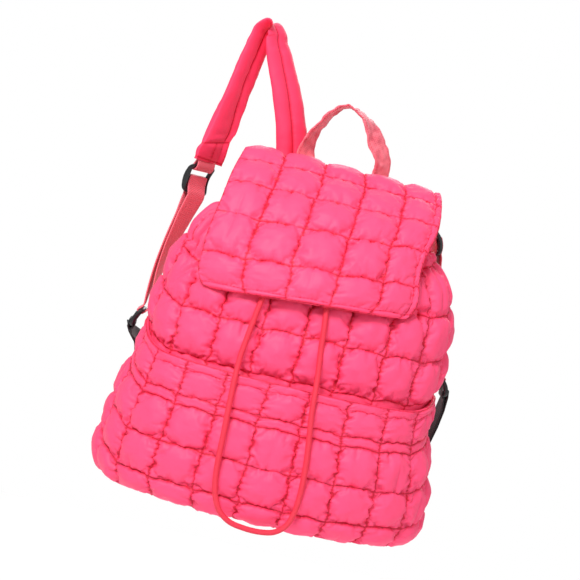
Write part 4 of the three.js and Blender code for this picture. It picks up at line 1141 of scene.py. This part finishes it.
pad_routes = {
    "left": [
        (-0.272, pad_behind, -0.132, 0, pad_root), (-0.272, pad_behind, -0.039, 0, pad_root),
        (-0.272, pad_behind + 0.027, 0.033, 8, 0.5), (-0.272, 1.25, 0.158, 24, 0.9),
        (-0.33, 1.318, 0.368, 34, 1), (-0.416, 1.364, 0.592, 38, 1),
        (-0.511, 1.409, 0.789, 43, 1), (-0.563, 1.409, 0.895, 48, 0.8),
        (-0.579, 1.409, 0.951, 51, 0.62), (-0.626, 1.409, 1, 51, 0.62), (-0.672, 1.409, 0.951, 51, 0.62),
        (-0.685, 1.398, 0.895, 54, 0.75), (-0.715, 1.364, 0.737, 56, 0.9), (-0.756, 1.318, 0.474, 57, 0.9),
        (-0.794, 1.239, 0.23, 54, 0.85), *pad_tail(hardware["left"][0], 49),
    ],
    "right": [
        (0.437, pad_behind, -0.204, 0, pad_root), (0.437, pad_behind, -0.082, 0, pad_root),
        (0.437, pad_behind + 0.091, 0.01, 4, 0.5), (0.417, 1.477, 0.082, 18, 0.8),
        (0.404, 1.795, 0.082, 40, 1),
        (0.397, 2.023, -0.051, 60, 1), (0.391, 2.114, -0.306, 75, 1), (0.391, 2.136, -0.653, 85, 1),
        (0.424, 2.136, -0.898, 89, 1), (0.517, 2.114, -1, 90, 1), (0.609, 2.068, -0.898, 91, 1),
        (0.642, 1.977, -0.612, 92, 1), (0.642, 1.818, -0.286, 94, 1), (0.649, 1.682, -0.061, 96, 0.9),
        *pad_tail(hardware["right"][0], 97),
    ],
}
# Pad nylon, with the same painted shade in its stitched grooves as the shell's nylon.
pad_nylon = nylon_material(
    "pad_nylon", (0.56, 0.002, 0.026), (0.88, 0.026, 0.08), (0.94, 0.042, 0.12), (0.98, 0.065, 0.165), 0.25
)
pad_shares = np.sin(np.linspace(-math.pi / 2, math.pi / 2, 33))
for side_name, reach in (("left", strap_rise), ("right", strap_drop)):
    per_span = 12
    middles, widths, full = strap_stations(pad_routes[side_name], reach, per_span)
    run = run_along(middles)
    share, along = np.meshgrid(pad_shares, run)
    full = full[:, None] * (1 - 0.22 * smooth_step(run, run[-1] - 48, run[-1] - 14))[:, None]
    # Over the hook the left pad is pressed thin and creases in half
    pressed = mound(run, 24, run[9 * per_span])[:, None] * (side_name == "left")
    full = full * (1 - 0.3 * pressed)
    box_rows = [len(run) - 3, len(run) - 17]
    box_dip = 1 - 0.55 * sum(mound(along, 2.5, run[row]) for row in box_rows)
    filled = np.maximum(0.86 * pad_thickness * full, wall) / 2 - wall / 2
    swell = np.sin(math.pi * np.abs(share)) ** 0.6 * filled * box_dip
    cup = -pad_cup * np.maximum(full - 0.3, 0) * share**2
    wide = pad_width / 2 * (0.97 + 0.025 * ripple(along, share * 0, 23.0, 71)) * (1 - 0.2 * pressed)
    sections = []
    # The left pad rolls a little as it hangs, which carries its middle seam to the right
    rolled = (0.12 + 0.5 * smooth_step(run, run[-1] - 95, run[-1] - 25))[:, None] * (side_name == "left")
    for face, seed in ((-1, 72), (1, 76)):
        soft = swell * (1 + 0.14 * ripple(along, share * 22, 15.0, seed))
        soft += 0.5 * np.minimum(swell, 1.0) * ripple(along, share * 8, 5.5, seed + 1)
        folds = mound(share * pad_width / 2, 6) * (1 - mound(share * pad_width / 2, 1.2))
        soft += 0.4 * folds * ripple(along, np.sign(share) * 3, 7.0, seed + 2) * np.minimum(swell, 1.0)
        thin = wall / 2 * (0.35 + 0.65 * (1 - np.abs(share) ** 8))
        across_pad = (share - face * rolled * (1 - share**2)) * wide
        sections.append(np.stack([across_pad, cup + face * (thin + soft)], axis=-1))
    sections = np.concatenate([sections[0], sections[1][:, ::-1]], axis=1)
    # Distances to the middle seam and to the sewn box. The pad's colour darkens near them, partly the thread
    # line and partly painted shade of the stitched grooves.
    to_middle = np.where(along < run[box_rows[1]], np.abs(share * wide), np.abs(np.abs(share) - 0.5) * wide)
    to_box = np.minimum(*(np.abs(along - run[row]) for row in box_rows))
    values = {
        label: np.concatenate([distance, distance[:, ::-1]], axis=1).ravel()
        for label, distance in (("from_columns", to_middle), ("from_rows", to_box))
    }
    squared = 1 - 1.5 * smooth_step(run, run[-1] - 60, run[-1] - 25) * (side_name == "left")
    name = f"padded_strap_{side_name}"
    pad, grid, out = strip(name, middles, widths, sections, pad_nylon, False, values, squared)
    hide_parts(f"strap_pad_{side_name}")
    lines = []
    columns = len(pad_shares)
    box = slice(box_rows[1], box_rows[0])
    for face, first in ((-1, 0), (1, columns)):
        middle = first + columns // 2
        lines.append((grid[:box_rows[1], middle], out[:box_rows[1]] * face))
        lines += [(grid[box, column], out[box] * face) for column in (middle - 5, middle + 5)]
        for row in box_rows:
            inner = grid[row, first + 2:first + columns - 2]
            lines.append((inner, np.repeat(out[row][None] * face, len(inner), axis=0)))
    sew(f"pad_stitches_{side_name}", lines, pitch=3.4, length=2.5, thick=0.5)


# Webbing: a coral tape that runs in a loop from the slider's middle bar down round the ring.
# A short loop of it keeps the slider on the pad, and a black tab holds the ring to the bag.
def bowed(piece, t):
    """How far a bowed slider or ring stands out, at t above its middle."""
    height, bow = piece[4:]
    return bow * (1 - (2 * t / height) ** 2)


slider_top = slider_height / 2
slider_upper = (slider_top - bar - slider_upper_slot, slider_top - bar)
slider_lower = (-slider_top + bar, -slider_top + bar + slider_lower_slot)
ring_half = ring_slot / 2
off_face = bar_thickness / 2 + thread_gap + webbing / 2
off_edge = thread_gap + webbing / 2
under_slider = (slider_lower[1] - 3, -slider_top + bar, -slider_top + 1)


def round_bar(piece, edge, turn_side, outer_first):
    """Stations of webbing that turns round the edge of a bar."""
    stations = []
    turn_steps = 12
    for k in range(turn_steps + 1):
        angle = math.pi * k / turn_steps
        face = math.cos(angle) * (1 if outer_first else -1)
        t = edge + turn_side * off_edge * max(math.sin(angle), 0.0) ** 0.7
        depth = bowed(piece, edge) + math.copysign(abs(face) ** 0.7, face) * off_face
        stations.append((in_hardware(piece, 0, t, depth), piece[1]))
    return stations


def on_face(piece, t, face):
    return in_hardware(piece, 0, t, bowed(piece, t) + face * off_face), piece[1]


def tape_through(name, stations, node, material, closed=False):
    middles = np.array([station[0] for station in stations])
    widths = np.array([station[1] for station in stations])
    if closed:
        middles, widths = np.vstack([middles, middles[:1]]), np.vstack([widths, widths[:1]])
    fine = 3
    widths = turned_widths(widths, fine)
    middles = smooth_route(middles, (len(middles) - 1) * fine)
    if closed:
        middles, widths = middles[:-1], widths[:-1]
    piece, _, _ = strip(name, middles, widths, tape_section(webbing_width, webbing), material, closed)
    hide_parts(node)


webbing_runs = {
    "left": [
        (-0.901, 1.091, 0.822, -128, 3), (-0.950, 1.068, 0.724, -116, 3), (-0.987, 1.068, 0.626, -102, 4),
    ],
    "right": [(0.887, 1.500, 0.822, 97, 3), (0.947, 1.386, 0.724, 96, 3), (0.993, 1.227, 0.626, 94, 4)],
}
tab_places = {
    "left": [(-0.934, 1.295, 0.356, -140), (-1.003, 1.227, 0.405, -118)],
    "right": [(1.013, 1.182, 0.258, 135), (1.079, 1.114, 0.319, 110)],
}
for side_name in ("left", "right"):
    slider, ring = hardware[side_name]
    run = webbing_runs[side_name]
    per_span = 3
    middles = smooth_route(
        [in_hardware(slider, 0, -slider_top - 3, 0), *(place_of(*row[:3]) for row in run),
         in_hardware(ring, 0, ring_height / 2 + 3, 0)],
        per_span * (len(run) + 1),
    )
    widths = unit(turned_widths([slider[1], *(width_at(row[3]) for row in run), ring[1]], per_span))
    outs = unit(np.cross(widths, -unit(np.gradient(middles, axis=0))))
    gaps = [2 * off_face, *(row[4] for row in run), 2 * off_face]
    apart = np.interp(np.arange(len(middles)) / per_span, np.arange(len(gaps)), gaps)
    layers = {
        face: [(middles[k] + outs[k] * face * apart[k] / 2, widths[k]) for k in range(len(middles))]
        for face in (1, -1)
    }

    tape_through(
        f"strap_tape_{side_name}",
        [*round_bar(slider, slider_upper[0], 1, False),
         *(on_face(slider, t, 1) for t in under_slider), *layers[1], on_face(ring, ring_height / 2 - 1, 1),
         *round_bar(ring, ring_half, -1, True), on_face(ring, ring_height / 2 - 1, -1),
         *layers[-1][::-1], *(on_face(slider, t, -1) for t in under_slider[::-1])],
        f"strap_webbing_{side_name}", webbing_cloth, closed=True,
    )
    keeper_top = slider_top + keeper_length - seam_gap
    keeper_apart = webbing + seam_gap

    def above(t, face):
        return in_hardware(slider, 0, t, face * keeper_apart / 2), slider[1]

    tape_through(
        f"slider_keeper_{side_name}",
        [above(keeper_top, 1), above(keeper_top - 2, 1), on_face(slider, slider_top - 1, 1),
         *round_bar(slider, slider_upper[1], -1, True),
         on_face(slider, slider_top - 1, -1), above(keeper_top - 2, -1), above(keeper_top, -1)],
        f"keeper_{side_name}", webbing_cloth,
    )

    def tab_leg(face):
        places = [place_of(*row[:3]) for row in tab_places[side_name]]
        way = places[1] - places[0]
        found = []
        for place, row in zip(places, tab_places[side_name]):
            outward = unit(np.cross(width_at(row[3]), way))
            found.append((place + outward * face * keeper_apart / 2, width_at(row[3])))
        return found

    def below(face):
        return in_hardware(ring, 0, -ring_height / 2 - 3, face * (keeper_apart / 2 + 1)), ring[1]

    tape_through(
        f"ring_tab_{side_name}",
        [*tab_leg(1), below(1), on_face(ring, -ring_height / 2 + 1, 1),
         *round_bar(ring, -ring_half, 1, True),
         on_face(ring, -ring_height / 2 + 1, -1), below(-1), *tab_leg(-1)[::-1]],
        f"anchor_tab_{side_name}", black_cloth,
    )


# Sliders and rings: moulded in black plastic, with soft edges and a satin face.
plastic, nodes, links, shader = new_material("satin_black_plastic")
rubs = noise(nodes, links, 70.0, 4.0)
tone = blend(nodes, links, rubs, (0.006, 0.006, 0.007), (0.022, 0.022, 0.025))
links.new(tone, shader.inputs["Base Color"])
links.new(math_node(nodes, links, "MULTIPLY_ADD", rubs, 0.25, 0.24), shader.inputs["Roughness"])
emboss(nodes, links, shader, noise(nodes, links, 1400.0, 3.0), 0.35, 0.0001)

for node in ("slider_left", "slider_right", "ring_left", "ring_right"):
    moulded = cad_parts[node].copy()
    moulded.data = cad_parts[node].data.copy()
    moulded.name = f"moulded_{node}"
    scene.collection.objects.link(moulded)
    work = bmesh.new()
    work.from_mesh(moulded.data)
    bmesh.ops.remove_doubles(work, verts=work.verts, dist=1e-5)
    bmesh.ops.dissolve_limit(work, angle_limit=math.radians(2), verts=work.verts, edges=work.edges)
    work.to_mesh(moulded.data)
    work.free()
    bpy.context.view_layer.objects.active = moulded
    soften = moulded.modifiers.new("soft_edges", "BEVEL")
    soften.width = 0.0004
    soften.segments = 2
    soften.limit_method = "ANGLE"
    soften.angle_limit = math.radians(25)
    bpy.ops.object.modifier_apply(modifier=soften.name)
    moulded.data.materials.clear()
    moulded.data.materials.append(plastic)
    moulded.data.polygons.foreach_set("use_smooth", [True] * len(moulded.data.polygons))
    moulded.select_set(True)
    bpy.ops.object.shade_smooth_by_angle(angle=math.radians(35))
    moulded.select_set(False)
    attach(moulded, root)
    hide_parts(node)


# Stage: a pale floor well under the hanging bag and a white room with large soft lamps.
room_light = 0.50
world = bpy.data.worlds.new("white_room")
scene.world = world
world.use_nodes = True
nodes, links = world.node_tree.nodes, world.node_tree.links
room = nodes["Background"]
room.inputs["Color"].default_value = (1.0, 1.0, 1.0, 1.0)
seen = nodes.new("ShaderNodeLightPath")
camera_ray = seen.outputs["Is Camera Ray"]
glow = math_node(nodes, links, "MULTIPLY_ADD", camera_ray, 1.0 - room_light, room_light)
links.new(glow, room.inputs["Strength"])
scene.view_settings.view_transform = "Standard"

bpy.ops.mesh.primitive_plane_add(size=1.0)
floor = bpy.context.object
floor.name = "floor"
half, floor_z = 1.3, -0.85
corners = [(x, y, floor_z) for y in (-half, half) for x in (-half, half)]
floor.data.vertices.foreach_set("co", np.ravel(corners))
floor_paint, nodes, links, shader = new_material("pale_floor")
set_inputs(shader, {"Base Color": (0.96, 0.96, 0.96, 1.0), "Roughness": 0.9})
floor.data.materials.append(floor_paint)


def lamp(name, place, aim, size, power):
    data = bpy.data.lights.new(name, "AREA")
    data.shape, data.size, data.energy = "SQUARE", size, power
    light = bpy.data.objects.new(name, data)
    scene.collection.objects.link(light)
    light.location = Vector(place)
    light.rotation_euler = (Vector(aim) - Vector(place)).to_track_quat("-Z", "Y").to_euler()


middle = tuple(in_frame((0, 0, 180)))
lamp("key", (-0.6, -1.35, 1.0), middle, 0.6, 36.0)
lamp("fill", (1.5, -1.3, 0.1), middle, 1.2, 7.0)
lamp("back", (0.4, 1.7, 0.6), middle, 1.2, 16.0)
